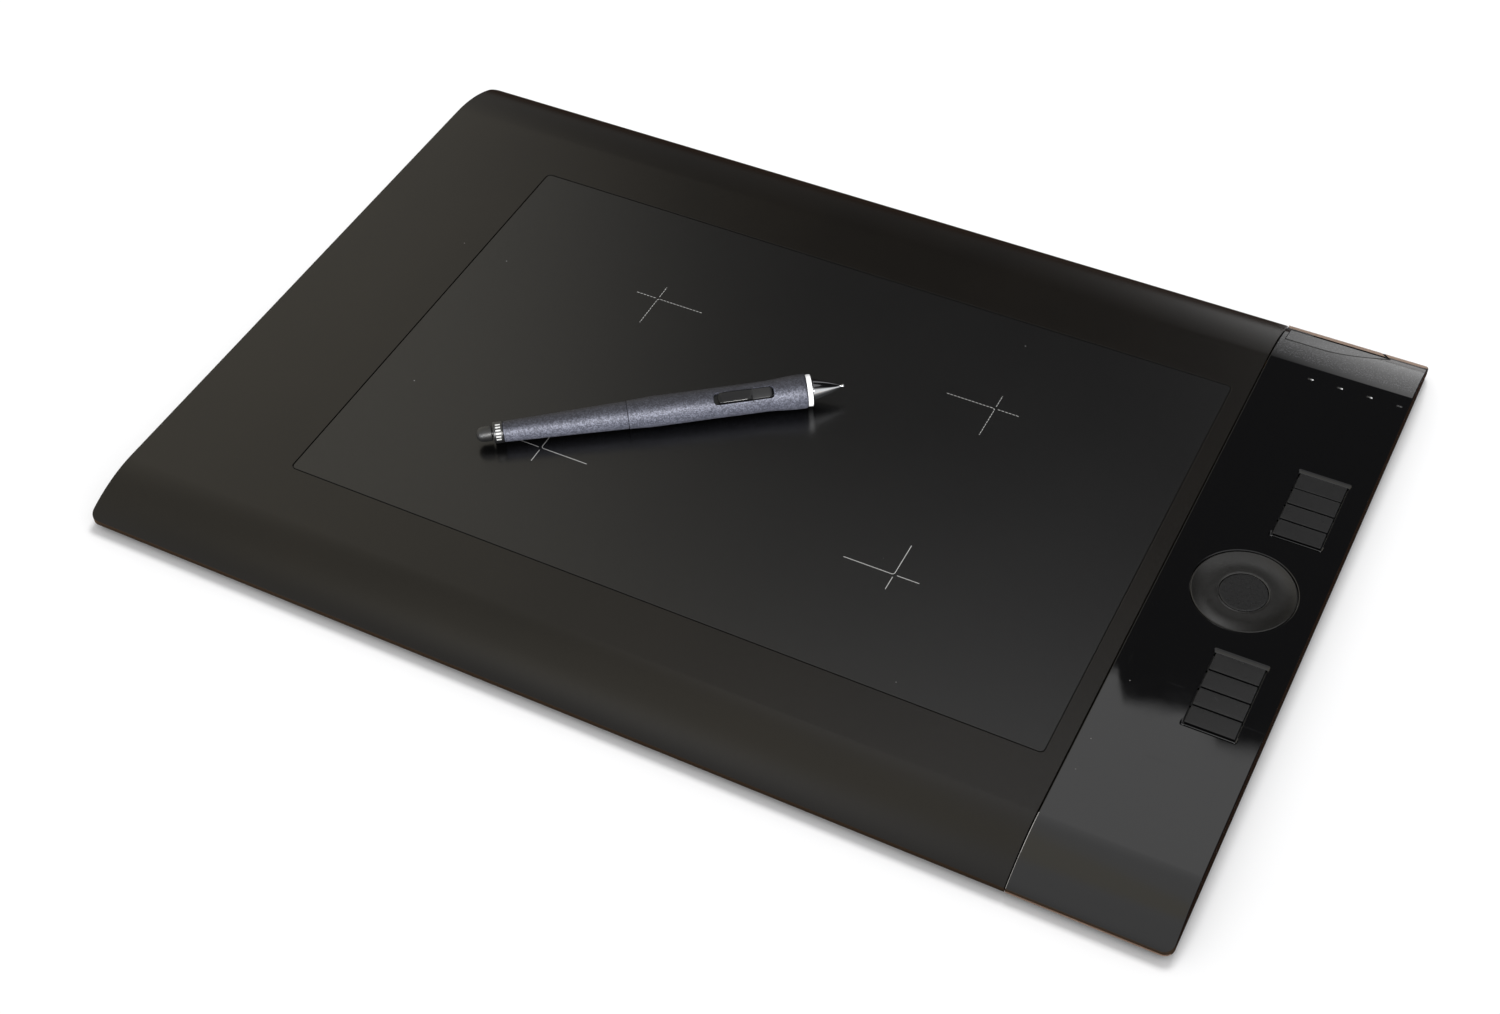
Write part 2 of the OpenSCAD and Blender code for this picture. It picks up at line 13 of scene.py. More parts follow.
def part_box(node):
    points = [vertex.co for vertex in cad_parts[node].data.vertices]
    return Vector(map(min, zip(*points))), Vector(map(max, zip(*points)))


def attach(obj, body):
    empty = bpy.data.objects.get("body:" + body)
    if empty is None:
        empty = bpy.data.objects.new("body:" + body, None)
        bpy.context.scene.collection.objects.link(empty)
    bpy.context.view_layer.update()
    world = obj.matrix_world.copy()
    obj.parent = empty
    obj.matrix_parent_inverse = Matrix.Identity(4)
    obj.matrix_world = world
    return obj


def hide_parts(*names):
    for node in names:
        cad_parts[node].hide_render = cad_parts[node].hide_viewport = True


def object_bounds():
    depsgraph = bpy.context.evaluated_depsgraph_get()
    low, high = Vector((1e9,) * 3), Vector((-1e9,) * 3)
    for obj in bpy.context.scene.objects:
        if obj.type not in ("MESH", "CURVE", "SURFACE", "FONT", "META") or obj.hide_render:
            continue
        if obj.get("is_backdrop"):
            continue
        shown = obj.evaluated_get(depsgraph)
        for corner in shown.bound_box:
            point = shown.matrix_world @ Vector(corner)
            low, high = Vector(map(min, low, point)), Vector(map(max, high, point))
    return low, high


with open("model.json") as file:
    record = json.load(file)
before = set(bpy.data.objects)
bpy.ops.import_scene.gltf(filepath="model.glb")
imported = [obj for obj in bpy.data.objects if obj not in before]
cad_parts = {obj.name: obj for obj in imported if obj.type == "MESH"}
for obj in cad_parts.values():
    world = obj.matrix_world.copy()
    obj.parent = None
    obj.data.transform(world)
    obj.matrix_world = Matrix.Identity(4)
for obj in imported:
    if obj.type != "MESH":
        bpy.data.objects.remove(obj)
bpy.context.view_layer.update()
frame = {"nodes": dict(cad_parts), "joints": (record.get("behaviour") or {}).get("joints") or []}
scene = bpy.context.scene
JOINTS = {joint["name"]: joint for joint in frame["joints"]}
rad = math.radians


def box_mm(node):
    """Lowest and highest corner of a CAD node, in millimetres."""
    return [[c * 1000 for c in corner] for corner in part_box(node)]


# ------------------------------------------------------------------ driving dimensions (mm)
top_lo, top_hi = box_mm("top_case")
sheet_lo, sheet_hi = box_mm("work_sheet")
LEFT = top_lo[0]                      # left end of the tablet
BACK = top_hi[1]                      # back edge; the front edge is at -BACK
TOP = top_hi[2]                       # flat top
BOTTOM = top_lo[2]                    # joint with the tray
SKIN = 2.0                            # wall thickness

# the top is flat up to |y| = FLAT, then rolls down; the roll meets the flat at a slight crease
ROLL_RADIUS, FLAT, CREASE = 65.0, 130.0, rad(1.5)
ROLL_Y = FLAT - ROLL_RADIUS * sin(CREASE)
ROLL_Z = TOP - ROLL_RADIUS * cos(CREASE)

# glossy control strip
STRIP_LEFT, STRIP_RIGHT = 175.0, box_mm("control_strip")[1][0]
LAND_Z = 6.0                          # narrow flat land along the back edge

# indicator windows in a row along X
LIGHT_X = box_mm("indicator_lights")[0][0] + 1.7
LIGHT_Y = BACK - 36.5
LIGHT_PITCH = 12.7
LIGHTS = [LIGHT_X + LIGHT_PITCH * k for k in range(4)]


# ------------------------------------------------------------------ mesh helpers (mm)
class Build:
    """Gathers vertices and faces."""

    def __init__(self):
        self.verts, self.faces = [], []

    def ring(self, points):
        first = len(self.verts)
        self.verts += points
        return list(range(first, len(self.verts)))

    def face(self, ids):
        self.faces.append(tuple(ids))

    def bridge(self, one, two):
        for i in range(len(one)):
            j = (i + 1) % len(one)
            self.face((one[i], one[j], two[j], two[i]))

    def chain(self, rings):
        for one, two in zip(rings, rings[1:]):
            self.bridge(one, two)

    def loft(self, rings):
        """Closed solid through rings of equal length, with flat caps."""
        ids = [self.ring(ring) for ring in rings]
        self.chain(ids)
        self.face(ids[0][::-1])
        self.face(ids[-1])

    def ribbon(self, low, high):
        """Thin closed strip; each loop runs out along one side and back along the other."""
        low, high = self.ring(low), self.ring(high)
        self.bridge(low, high)
        last = len(low) - 1
        for i in range(len(low) // 2 - 1):
            for loop in (high, low):
                self.face((loop[i], loop[i + 1], loop[last - 1 - i], loop[last - i]))

    def make(self, matrix=None, name="part"):
        mesh = bpy.data.meshes.new(name)
        mesh.from_pydata(self.verts, [], self.faces)
        bm = bmesh.new()
        bm.from_mesh(mesh)
        bmesh.ops.remove_doubles(bm, verts=bm.verts, dist=1e-4)
        bmesh.ops.dissolve_degenerate(bm, edges=bm.edges, dist=1e-5)
        bmesh.ops.recalc_face_normals(bm, faces=bm.faces)
        bm.to_mesh(mesh)
        bm.free()
        if matrix is not None:
            mesh.transform(matrix)
        obj = bpy.data.objects.new(name, mesh)
        scene.collection.objects.link(obj)
        return obj


def loft(rings):
    build = Build()
    build.loft(rings)
    return build.make()


def slab(x0, y0, z0, x1, y1, z1):
    return loft([[(x0, y0, z), (x1, y0, z), (x1, y1, z), (x0, y1, z)] for z in (z0, z1)])


def corner_arc(x, y, radius, start, steps=8):
    """Quarter circle in plan, anticlockwise from start degrees, as (x, y, outward x, y)."""
    angles = [rad(start + 90 * k / steps) for k in range(steps + 1)]
    return [(x + radius * cos(a), y + radius * sin(a), cos(a), sin(a)) for a in angles]


def rounded_rect(x0, y0, x1, y1, radius, steps=8):
    """Anticlockwise outline, as (x, y, outward x, outward y)."""
    left, right, front, back = x0 + radius, x1 - radius, y0 + radius, y1 - radius
    centres = ((left, front, 180), (right, front, 270), (right, back, 0), (left, back, 90))
    return [p for x, y, start in centres for p in corner_arc(x, y, radius, start, steps)]


def flare(outline, z_low, edge, steps=5, reach=0.35, top=lambda x, y: TOP):
    """Cutter with a straight wall whose rim rounds outward just under the surface top(x, y)."""
    angles = [rad(68 * k / steps) for k in range(steps + 1)]
    levels = [(edge * (1 - cos(a)), edge * sin(a)) for a in angles]
    widest, rise = levels[-1]
    widest += reach
    levels += [(widest, rise + reach / math.tan(angles[-1])), (widest, edge + 3)]
    rings = [[(x, y, z_low) for x, y, _, _ in outline]]
    for outset, rise in levels:
        rings.append([(x + out_x * outset, y + out_y * outset, top(x, y) - edge + rise)
                      for x, y, out_x, out_y in outline])
    return loft(rings)


def inset_rings(outline, levels):
    """The outline repeated at (inset, z) levels."""
    return [[(x - out_x * inset, y - out_y * inset, z) for x, y, out_x, out_y in outline]
            for inset, z in levels]


def rounded_top(z0, z1, edge, steps=4):
    """(inset, z) levels of a straight wall with a rounded top edge."""
    angles = [rad(90 * k / steps) for k in range(steps + 1)]
    return [(0, z0)] + [(edge * (1 - cos(a)), z1 - edge + edge * sin(a)) for a in angles]


def fillet(along0, radius0, along1, radius1, steps):
    """Quarter ellipse for a lathe profile, bulging outward whether the radius rises or falls."""
    points = []
    for k in range(steps + 1):
        angle = rad(90 * k / steps)
        if radius1 > radius0:
            points.append((along1 + (along0 - along1) * cos(angle),
                           radius0 + (radius1 - radius0) * sin(angle)))
        else:
            points.append((along0 + (along1 - along0) * sin(angle),
                           radius1 + (radius0 - radius1) * cos(angle)))
    return points


def lathe(profile, sides, matrix=None):
    """Turned solid round local X; profile is a loop of (along, radius)."""
    build = Build()
    turns = [2 * pi * k / sides for k in range(sides)]
    rings = []
    for along, radius in profile:
        if radius < 1e-6:
            points = [(along, 0, 0)]
        else:
            points = [(along, radius * cos(a), radius * sin(a)) for a in turns]
        rings.append(build.ring(points))
    for one, two in zip(rings, rings[1:] + rings[:1]):
        if len(one) > 1 and len(two) > 1:
            build.bridge(one, two)
        elif len(one) != len(two):
            pole, rim = (one, two) if len(one) == 1 else (two, one)
            for k in range(sides):
                build.face((pole[0], rim[k], rim[(k + 1) % sides]))
    return build.make(matrix)


def rod(start, end, radius, sides, matrix):
    return lathe([(start, 0), (start, radius), (end, radius), (end, 0)], sides, matrix)


def stand(x, y):
    """Turns the lathe axis up, through (x, y)."""
    return Matrix.Translation((x, y, 0)) @ Matrix.Rotation(rad(-90), 4, "Y")


def boolean(obj, others, operation="DIFFERENCE"):
    """Applies the others to obj in turn and removes them."""
    for other in others:
        mod = obj.modifiers.new("cut", "BOOLEAN")
        mod.operation, mod.solver, mod.object = operation, "EXACT", other
    bpy.context.view_layer.update()
    depsgraph = bpy.context.evaluated_depsgraph_get()
    mesh = bpy.data.meshes.new_from_object(obj.evaluated_get(depsgraph))
    obj.modifiers.clear()
    old = obj.data
    obj.data = mesh
    bpy.data.meshes.remove(old)
    for other in others:
        data = other.data
        bpy.data.objects.remove(other)
        bpy.data.meshes.remove(data)
    bm = bmesh.new()
    bm.from_mesh(mesh)
    bmesh.ops.remove_doubles(bm, verts=bm.verts, dist=2e-4)
    bmesh.ops.dissolve_degenerate(bm, edges=bm.edges, dist=2e-4)
    bm.to_mesh(mesh)
    bm.free()


def soften(obj, angle, weighted):
    """Smooth shading that keeps edges sharper than angle degrees."""
    bm = bmesh.new()
    bm.from_mesh(obj.data)
    for face in bm.faces:
        face.smooth = True
    for edge in bm.edges:
        edge.smooth = len(edge.link_faces) == 2 and edge.calc_face_angle(3.2) < rad(angle)
    bm.to_mesh(obj.data)
    bm.free()
    if weighted:
        mod = obj.modifiers.new("weighted_normals", "WEIGHTED_NORMAL")
        mod.keep_sharp = True
        mod.weight = 60


def piece(obj, name, slot, body, node=None, mats=(), angle=32, weighted=True):
    """Finishes a piece: scales it to metres, smooths it, parents it to its body and hides its CAD
    node;
    its material is the one named by slot unless mats names others."""
    obj.name = name
    obj.data.name = name
    obj.data.transform(Matrix.Scale(0.001, 4))
    soften(obj, angle, weighted)
    obj.data.materials.clear()
    for mat in mats or (slot,):
        obj.data.materials.append(MAT[mat])
    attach(obj, body)
    if node:
        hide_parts(node)


def second_finish(obj, faces):
    for i in faces:
        obj.data.polygons[i].material_index = 1


# ------------------------------------------------------------------ shader helpers
class Value:
    """A shader output that takes part in sums; each operator adds a math node."""

    def __init__(self, nodes, socket):
        self.nodes, self.socket = nodes, socket

    def out(self, key):
        """Another output of the same node."""
        return Value(self.nodes, self.socket.node.outputs[key])

    def remap(self, span, to=(0.0, 1.0), smooth=True):
        """Takes the span onto the range to."""
        inputs = {"Value": self, "From Min": span[0], "From Max": span[1],
                  "To Min": to[0], "To Max": to[1]}
        return self.nodes.add("MapRange", inputs, "Result",
                              interpolation_type="SMOOTHSTEP" if smooth else "LINEAR")

    def __add__(self, other):
        return self.nodes.math("ADD", self, other)

    def __radd__(self, other):
        return self.nodes.math("ADD", other, self)

    def __sub__(self, other):
        return self.nodes.math("SUBTRACT", self, other)

    def __rsub__(self, other):
        return self.nodes.math("SUBTRACT", other, self)

    def __mul__(self, other):
        return self.nodes.math("MULTIPLY", self, other)

    def __rmul__(self, other):
        return self.nodes.math("MULTIPLY", other, self)

    def __mod__(self, other):
        return self.nodes.math("MODULO", self, other)

    def __pow__(self, other):
        return self.nodes.math("POWER", self, other)

    def __gt__(self, other):
        return self.nodes.math("GREATER_THAN", self, other)

    def __abs__(self):
        return self.nodes.math("ABSOLUTE", self)


class Nodes:
    """Adds shader nodes to a tree."""

    def __init__(self, tree, coordinates):
        self.tree = tree
        tree.nodes.clear()
        self.place = self.add("TexCoord", output=coordinates)

    def put(self, socket, value):
        if isinstance(value, Value):
            self.tree.links.new(value.socket, socket)
        elif isinstance(value, tuple) and socket.type == "RGBA":
            socket.default_value = (*value, 1)
        else:
            socket.default_value = value

    def new(self, kind, inputs=None, **settings):
        node = self.tree.nodes.new("ShaderNode" + kind)
        for key, value in settings.items():
            setattr(node, key, value)
        for key, value in (inputs or {}).items():
            self.put(node.inputs[key], value)
        return node

    def add(self, kind, inputs=None, output=0, **settings):
        return Value(self, self.new(kind, inputs, **settings).outputs[output])

    def math(self, operation, one, two=0.0, clamp=False):
        return self.add("Math", {0: one, 1: two}, operation=operation, use_clamp=clamp)

    def mix(self, factor, low, high):
        return self.add("Mix", {0: factor, 6: low, 7: high}, 2, data_type="RGBA")

    def split(self, value=None, kind="SeparateXYZ"):
        first = self.add(kind, {0: value or self.place})
        return [first.out(i) for i in range(3)]

    def noise(self, scale, detail=2.0, rough=0.5, place=None):
        return self.add("TexNoise", {"Scale": scale, "Detail": detail, "Roughness": rough,
                                     "Vector": place or self.place}, "Fac")


class Material(Nodes):
    """A material with one principled surface, kept in MAT under its name."""

    SOCKETS = dict(color="Base Color", rough="Roughness", metal="Metallic",
                   spec="Specular IOR Level", coat_rough="Coat Roughness", normal="Normal",
                   emit="Emission Color", emit_power="Emission Strength",
                   sss="Subsurface Weight", sss_radius="Subsurface Radius")

    def __init__(self, name):
        MAT[name] = bpy.data.materials.new(name)
        MAT[name].use_nodes = True
        super().__init__(MAT[name].node_tree, "Object")
        self.principled = self.new("BsdfPrincipled")
        self.new("OutputMaterial", {"Surface": Value(self, self.principled.outputs[0])})

    def surface(self, **values):
        for key, value in values.items():
            self.put(self.principled.inputs[self.SOCKETS[key]], value)

    def cells(self, scale, output="Distance"):
        return self.add("TexVoronoi", {"Scale": scale, "Vector": self.place}, output)

    def stretch(self, scale, turn=(0, 0, 0)):
        return self.add("Mapping", {"Scale": scale, "Rotation": turn, "Vector": self.place})

    def bump(self, height, depth, strength=1.0):
        return self.add("Bump", {"Strength": strength, "Distance": depth, "Height": height})

    def edge(self):
        """0 on flat ground, towards 1 along edges: the plain against the rounded normal."""
        rounded = self.add("Bevel", {"Radius": 0.0005}, samples=6)
        plain = self.add("NewGeometry", output="Normal")
        dot = self.add("VectorMath", {0: rounded, 1: plain}, "Value", operation="DOT_PRODUCT")
        return dot.remap(span=(0.995, 0.86))

    def back(self):
        """-1 for faces turned down and to the front, +1 for faces turned up and to the back."""
        _, y, z = self.split(self.add("NewGeometry", output="Normal"))
        return (z + y) * 0.7

    def sparse(self, scale, radius, keep):
        """Rare small dots: the share keep of all cells, near their centres."""
        distance = self.cells(scale)
        chance = self.split(self.cells(scale, "Color"), "SeparateColor")[0]
        near = distance.remap(span=(radius * 1.15, radius * 0.55))
        return near * (chance > 1 - keep)

    def stripes(self, coordinate, per_metre, share):
        """1 on stripes, 0 on the leading share of each period."""
        return self.math("FRACT", coordinate * per_metre) > share


MAT = {}


def moulded(name, color, rough, grain, depth, spec=0.5, specks=0.0, blotch=0.2,
            painted_edge_highlight=None, rough_var=0.06):
    """Matte moulded plastic: fine grain, slow tone drift, sparse dust and, where an edge colour is
    given, painted highlights along the edges.
    grain and depth are the size and height of the texture in metres."""
    mat = Material(name)
    fine = mat.noise(scale=1 / grain, detail=2.5, rough=0.6)
    mid = mat.noise(scale=1 / (grain * 4.5))
    slow = mat.noise(scale=18)
    tone = slow * 0.55 + fine * 0.45
    col = mat.mix(tone.remap(span=(0.35, 0.65)), low=tuple(c * (1 - blotch) for c in color),
                  high=tuple(c * (1 + blotch) for c in color))
    if specks:
        dust = mat.sparse(scale=260, radius=0.085, keep=specks)
        col = mat.mix(dust * 0.75, low=col, high=(0.22, 0.21, 0.2))
    # painted highlight: edges take a lighter colour
    if painted_edge_highlight:
        col = mat.mix(mat.edge() * 0.8, low=col, high=painted_edge_highlight)
    height = fine * 0.7 + mid * 0.5
    mat.surface(color=col, rough=(mid - 0.5) * (rough_var * 2) + rough, spec=spec,
                normal=mat.bump(height, depth))


def metal(name, low, high, rough, brush=(1, 1, 1), scale=1400, depth=0.000006):
    """Metal whose grain is stretched by brush. Returns the material and its colour."""
    mat = Material(name)
    grain = mat.noise(scale, detail=3, rough=0.6, place=mat.stretch(brush))
    cloud = mat.noise(scale=60)
    color = mat.mix(grain * 0.6 + cloud * 0.4, low, high)
    mat.surface(color=color, rough=grain.remap(span=(0.3, 0.7), to=(rough * 0.8, rough * 1.25)),
                metal=1.0, normal=mat.bump(grain, depth))
    return mat, color


# ------------------------------------------------------------------ materials of the tablet
moulded("housing_matte", color=(0.0034, 0.0025, 0.0016), rough=0.235, grain=0.00042,
        depth=0.0000045, spec=0.33, specks=0.004, blotch=0.22, rough_var=0.03)
moulded("base_matte", color=(0.010, 0.0098, 0.0095), rough=0.55, grain=0.0006, depth=0.00003)
# painted highlight: light grey for the left edge of the strip's front roll, where it catches light
moulded("strip_painted_edge_highlight", color=(0.40, 0.385, 0.37), rough=0.35, grain=0.0005, depth=0.000006,
        blotch=0.15)
moulded("strip_raw", color=(0.0035, 0.0034, 0.0034), rough=0.5, grain=0.0005, depth=0.00001,
        spec=0.3, blotch=0.25)
# key caps: the edge colour is a painted highlight
moulded("key_matte", color=(0.0060, 0.0060, 0.0064), rough=0.30, grain=0.0005, depth=0.000016,
        spec=0.38, specks=0.006, blotch=0.35, painted_edge_highlight=(0.014, 0.014, 0.015))
# touch ring: the light edge colour is a painted rim highlight
moulded("ring_matte", color=(0.0055, 0.0052, 0.0047), rough=0.24, grain=0.0004, depth=0.000008,
        spec=0.45, specks=0.006, painted_edge_highlight=(0.12, 0.118, 0.115))
# centre button: the edge colour is a painted highlight
moulded("button_matte", color=(0.0048, 0.0048, 0.0051), rough=0.28, grain=0.0004,
        depth=0.000005, spec=0.36, painted_edge_highlight=(0.06, 0.06, 0.062))
moulded("foot_rubber", color=(0.018, 0.018, 0.018), rough=0.8, grain=0.0007, depth=0.00004,
        spec=0.3, blotch=0.25)
moulded("port_gloss", color=(0.006, 0.006, 0.0062), rough=0.16, grain=0.0006, depth=0.000004)


def sheet_satin():
    """Fine-toothed satin film."""
    mat = Material("sheet_satin")
    tooth = mat.noise(scale=1 / 0.00028, rough=0.55)
    cloud = mat.noise(scale=1 / 0.0011, detail=2.5, rough=0.55)
    tone = tooth * 0.5 + cloud * 0.5
    col = mat.mix(tone.remap(span=(0.36, 0.64)),
                  low=(0.0022, 0.0022, 0.0024), high=(0.0040, 0.0040, 0.0042))
    dust = mat.sparse(scale=230, radius=0.08, keep=0.006)
    col = mat.mix(dust * 0.6, low=col, high=(0.25, 0.25, 0.25))
    mat.surface(color=col, rough=mat.noise(scale=12) * 0.04 + 0.21, spec=0.44,
                normal=mat.bump(tooth + cloud * 0.4, depth=0.0000032))


def sheet_print():
    """Pale printing ink."""
    mat = Material("sheet_print")
    grain = mat.noise(scale=2600)
    mat.surface(color=mat.mix(grain, low=(0.30, 0.30, 0.29), high=(0.46, 0.46, 0.45)),
                rough=grain.remap(span=(0.3, 0.7), to=(0.45, 0.6)),
                normal=mat.bump(grain, depth=0.000004))


def strip_gloss():
    """Deep black high gloss with faint hairlines and dust; grittier on the rolled edges, with painted
    glints on the back roll.
    """
    mat = Material("strip_gloss")
    hairs = [mat.noise(scale=scale, place=mat.stretch(stretch, turn=turn))
             for scale, stretch, turn in ((900, (1.0, 0.03, 1.0), (0, 0, 0.5)),
                                          (700, (0.04, 1.0, 1.0), (0, 0, 0.22)))]
    smear = mat.noise(scale=40, detail=3, rough=0.6)
    dust = mat.math("ADD", mat.sparse(scale=300, radius=0.075, keep=0.012),
                    mat.sparse(scale=140, radius=0.06, keep=0.010), clamp=True)
    scratches = mat.math("ADD", *[hair.remap(span=(0.70, 0.76)) for hair in hairs], clamp=True)
    col = mat.mix(dust, low=(0.0025, 0.0025, 0.0028), high=(0.15, 0.145, 0.14))
    rolled = abs(mat.split()[1]).remap(span=(0.131, 0.136))
    grit = mat.noise(scale=2400, rough=0.6)
    rough = smear.remap(span=(0.35, 0.75)) * 0.03 + (rolled * 0.06 + 0.012)
    rough = rough + scratches * 0.06
    rough = rough + dust * 0.5
    # painted glints: lighter specks on the back half of the roll
    back_half = mat.split()[1].remap(span=(0.0, 0.01))
    painted_glints = mat.noise(scale=1700, rough=0.6).remap(span=(0.48, 0.70))
    col = mat.mix(rolled * (back_half * painted_glints), low=col, high=(0.055, 0.055, 0.060))
    mat.surface(color=col, rough=rough, normal=mat.bump(
        grit * (rolled * 7.0) + mat.noise(scale=160), depth=0.0000012))


def bronze_painted_reflection():
    """Brushed bronze colour: a painted warm reflection for the back land and the foot of the front
    wall.
    """
    mat = Material("bronze_painted_reflection")
    grain = mat.noise(scale=900, detail=3, rough=0.6, place=mat.stretch((0.08, 1, 1)))
    mat.surface(color=mat.mix(grain, low=(0.30, 0.215, 0.165), high=(0.42, 0.31, 0.25)),
                rough=grain.remap(span=(0.3, 0.7), to=(0.24, 0.36)), metal=0.55,
                normal=mat.bump(grain, depth=0.000006))


def light_guide():
    """Smoked lens with a painted highlight, lighter colour and a faint emission, towards the right of
    each window; on the rightmost one it is dim.
    """
    mat = Material("light_guide")
    x = mat.split()[0]
    half = LIGHT_PITCH / 2
    from_centre = (x * 1000 - (LIGHT_X - half)) % LIGHT_PITCH - half
    painted_lens_highlight = from_centre.remap(span=(-0.4, 1.2))
    fade = x.remap(span=(0.222, 0.230), to=(1.0, 0.05))
    # painted highlight: lighter colour and emission towards the right end of each lens
    mat.surface(color=mat.mix(painted_lens_highlight * fade, low=(0.006, 0.006, 0.006), high=(0.30, 0.30, 0.29)),
                rough=0.12, spec=0.6, emit=(0.95, 0.96, 1.0),
                emit_power=painted_lens_highlight ** 3.0 * fade * 0.55,
                normal=mat.bump(mat.noise(scale=1500, rough=0.55), depth=0.000004))


def display_black():
    """Dark display with fine lines across X."""
    mat = Material("display_black")
    line = mat.stripes(mat.split()[0], per_metre=2200, share=0.2) * 1.0
    haze = mat.noise(scale=400, detail=3, rough=0.55)
    mat.surface(color=mat.mix(line, low=(0.004, 0.004, 0.006), high=(0.010, 0.011, 0.018)),
                rough=haze.remap(span=(0.3, 0.7), to=(0.06, 0.14)),
                normal=mat.bump(line, depth=0.000003))


def board_green():
    """Green solder mask over routed copper, with gold pads."""
    mat = Material("board_green")
    traces = mat.add("TexBrick", {"Scale": 260, "Mortar Size": 0.03, "Color1": (0, 0, 0),
                                  "Color2": (0, 0, 0), "Mortar": (1, 1, 1),
                                  "Vector": mat.place}, "Color")
    pads = mat.sparse(scale=420, radius=0.22, keep=0.22)
    col = mat.mix(mat.noise(scale=900, rough=0.55),
                  low=(0.010, 0.075, 0.030), high=(0.016, 0.105, 0.042))
    col = mat.mix(traces, low=col, high=(0.03, 0.16, 0.06))
    col = mat.mix(pads, low=col, high=(0.62, 0.48, 0.22))
    mat.surface(color=col, rough=pads * -0.1 + 0.38, metal=pads * 0.9,
                normal=mat.bump(pads * 0.6 + 0.0, depth=0.00003))


def board_black():
    """Black board with a faint weave and small pads."""
    mat = Material("board_black")
    pads = mat.sparse(scale=900, radius=0.2, keep=0.1)
    weave = mat.noise(scale=1500, rough=0.55)
    ground = mat.mix(weave, low=(0.004, 0.0045, 0.004), high=(0.009, 0.010, 0.009))
    mat.surface(color=mat.mix(pads * 0.5, low=ground, high=(0.10, 0.08, 0.04)),
                rough=weave.remap(span=(0.3, 0.7), to=(0.4, 0.55)),
                normal=mat.bump(pads + weave, depth=0.00001))


def flex_amber():
    """Amber flat cable with conductors side by side in Y."""
    mat = Material("flex_amber")
    lines = mat.stripes(mat.split()[1], per_metre=1100, share=0.55)
    mat.surface(color=mat.mix(lines, low=(0.42, 0.16, 0.03), high=(0.52, 0.24, 0.06)),
                rough=0.32, normal=mat.bump(lines, depth=0.00002))


for make_material in (sheet_satin, sheet_print, strip_gloss, bronze_painted_reflection, light_guide,
                      display_black, board_green, board_black, flex_amber):
    make_material()
metal("plated_steel", low=(0.42, 0.43, 0.45), high=(0.62, 0.63, 0.65), rough=0.30,
      brush=(0.06, 1, 1))
metal("dome_steel", low=(0.55, 0.55, 0.54), high=(0.72, 0.72, 0.70), rough=0.22, scale=900)
metal("copper_coil", low=(0.45, 0.16, 0.06), high=(0.72, 0.30, 0.13), rough=0.30,
      brush=(1, 1, 14), scale=2600, depth=0.00002)

# ------------------------------------------------------------------ materials of the pen
moulded("pen_black", color=(0.0085, 0.0085, 0.0088), rough=0.34, grain=0.0004, depth=0.00001)
moulded("pen_eraser_black", color=(0.0075, 0.0075, 0.0075), rough=0.42, grain=0.0005,
        depth=0.000012)
moulded("switch_gloss", color=(0.003, 0.003, 0.0032), rough=0.11, grain=0.0005,
        depth=0.000003, spec=0.3)
moulded("switch_matte", color=(0.010, 0.010, 0.0105), rough=0.42, grain=0.0004,
        depth=0.00002, spec=0.28)
metal("tip_steel", low=(0.30, 0.30, 0.31), high=(0.52, 0.52, 0.54), rough=0.20, scale=2500,
      depth=0.000003)
# painted shade: the chrome colour darkens on faces turned up and to the back
chrome, chrome_color = metal("nose_chrome", low=(0.66, 0.67, 0.69), high=(0.80, 0.81, 0.83),
                             rough=0.075, scale=1800, depth=0.0000015)
chrome.surface(color=chrome.mix(chrome.back().remap(span=(0.13, 0.30)), low=chrome_color,
                                high=(0.09, 0.09, 0.095)))


def pen_metallic():
    """Blue-grey pearl lacquer with fine flake, with painted shade on faces turned up and to the back.
    """
    mat = Material("pen_metallic")
    flake = mat.split(mat.cells(2300, "Color"), "SeparateColor")
    cloud = mat.noise(scale=1 / 0.0009, detail=2.5, rough=0.6)
    tone = flake[0] ** 1.5 * 0.8 + cloud * 0.25
    col = mat.mix(tone.remap(span=(0.1, 0.95), smooth=False),
                  low=(0.040, 0.042, 0.055), high=(0.145, 0.150, 0.186))
    # painted shade on faces turned up and to the back
    col = mat.mix(mat.back().remap(span=(-0.1, 0.5), to=(0.0, 0.68)), low=col,
                  high=(0.004, 0.004, 0.005))
    mat.surface(color=col, rough=flake[1].remap(span=(0, 1), to=(0.44, 0.58), smooth=False),
                metal=0.2, spec=0.28, coat_rough=0.2,
                normal=mat.bump(flake[2] + cloud, depth=0.000022, strength=0.9))


def pen_white():
    """White plastic that lets a little light in."""
    mat = Material("pen_white")
    grain = mat.noise(scale=700, detail=3)
    mat.surface(color=mat.mix(grain, low=(0.84, 0.84, 0.85), high=(0.93, 0.93, 0.93)),
                rough=grain.remap(span=(0.3, 0.7), to=(0.22, 0.32)), sss=0.15,
                sss_radius=(0.001, 0.001, 0.001), normal=mat.bump(grain, depth=0.000004))


pen_metallic()
pen_white()


# ------------------------------------------------------------------ tablet shells
def surface_z(y, inset=0.0):
    """Height of the top at y, or of a surface inset below it."""
    if abs(y) <= FLAT:
        return TOP - inset
    radius = ROLL_RADIUS - inset
    return ROLL_Z + sqrt(radius * radius - (abs(y) - ROLL_Y) ** 2)


def surface_slope(y):
    drop = abs(y) - ROLL_Y
    return 0.0 if abs(y) <= FLAT else drop / sqrt(ROLL_RADIUS ** 2 - drop ** 2)


def edge_rounding(radius, lean, part):
    """(inset, height against the surface) at a part 0..1 of the way up an edge rounding
    that ends on a surface leaning by lean."""
    angle = part * (pi / 2 - lean)
    return (radius * (1 - cos(angle)),
            radius * math.tan(lean) - radius / cos(lean) + radius * sin(angle))


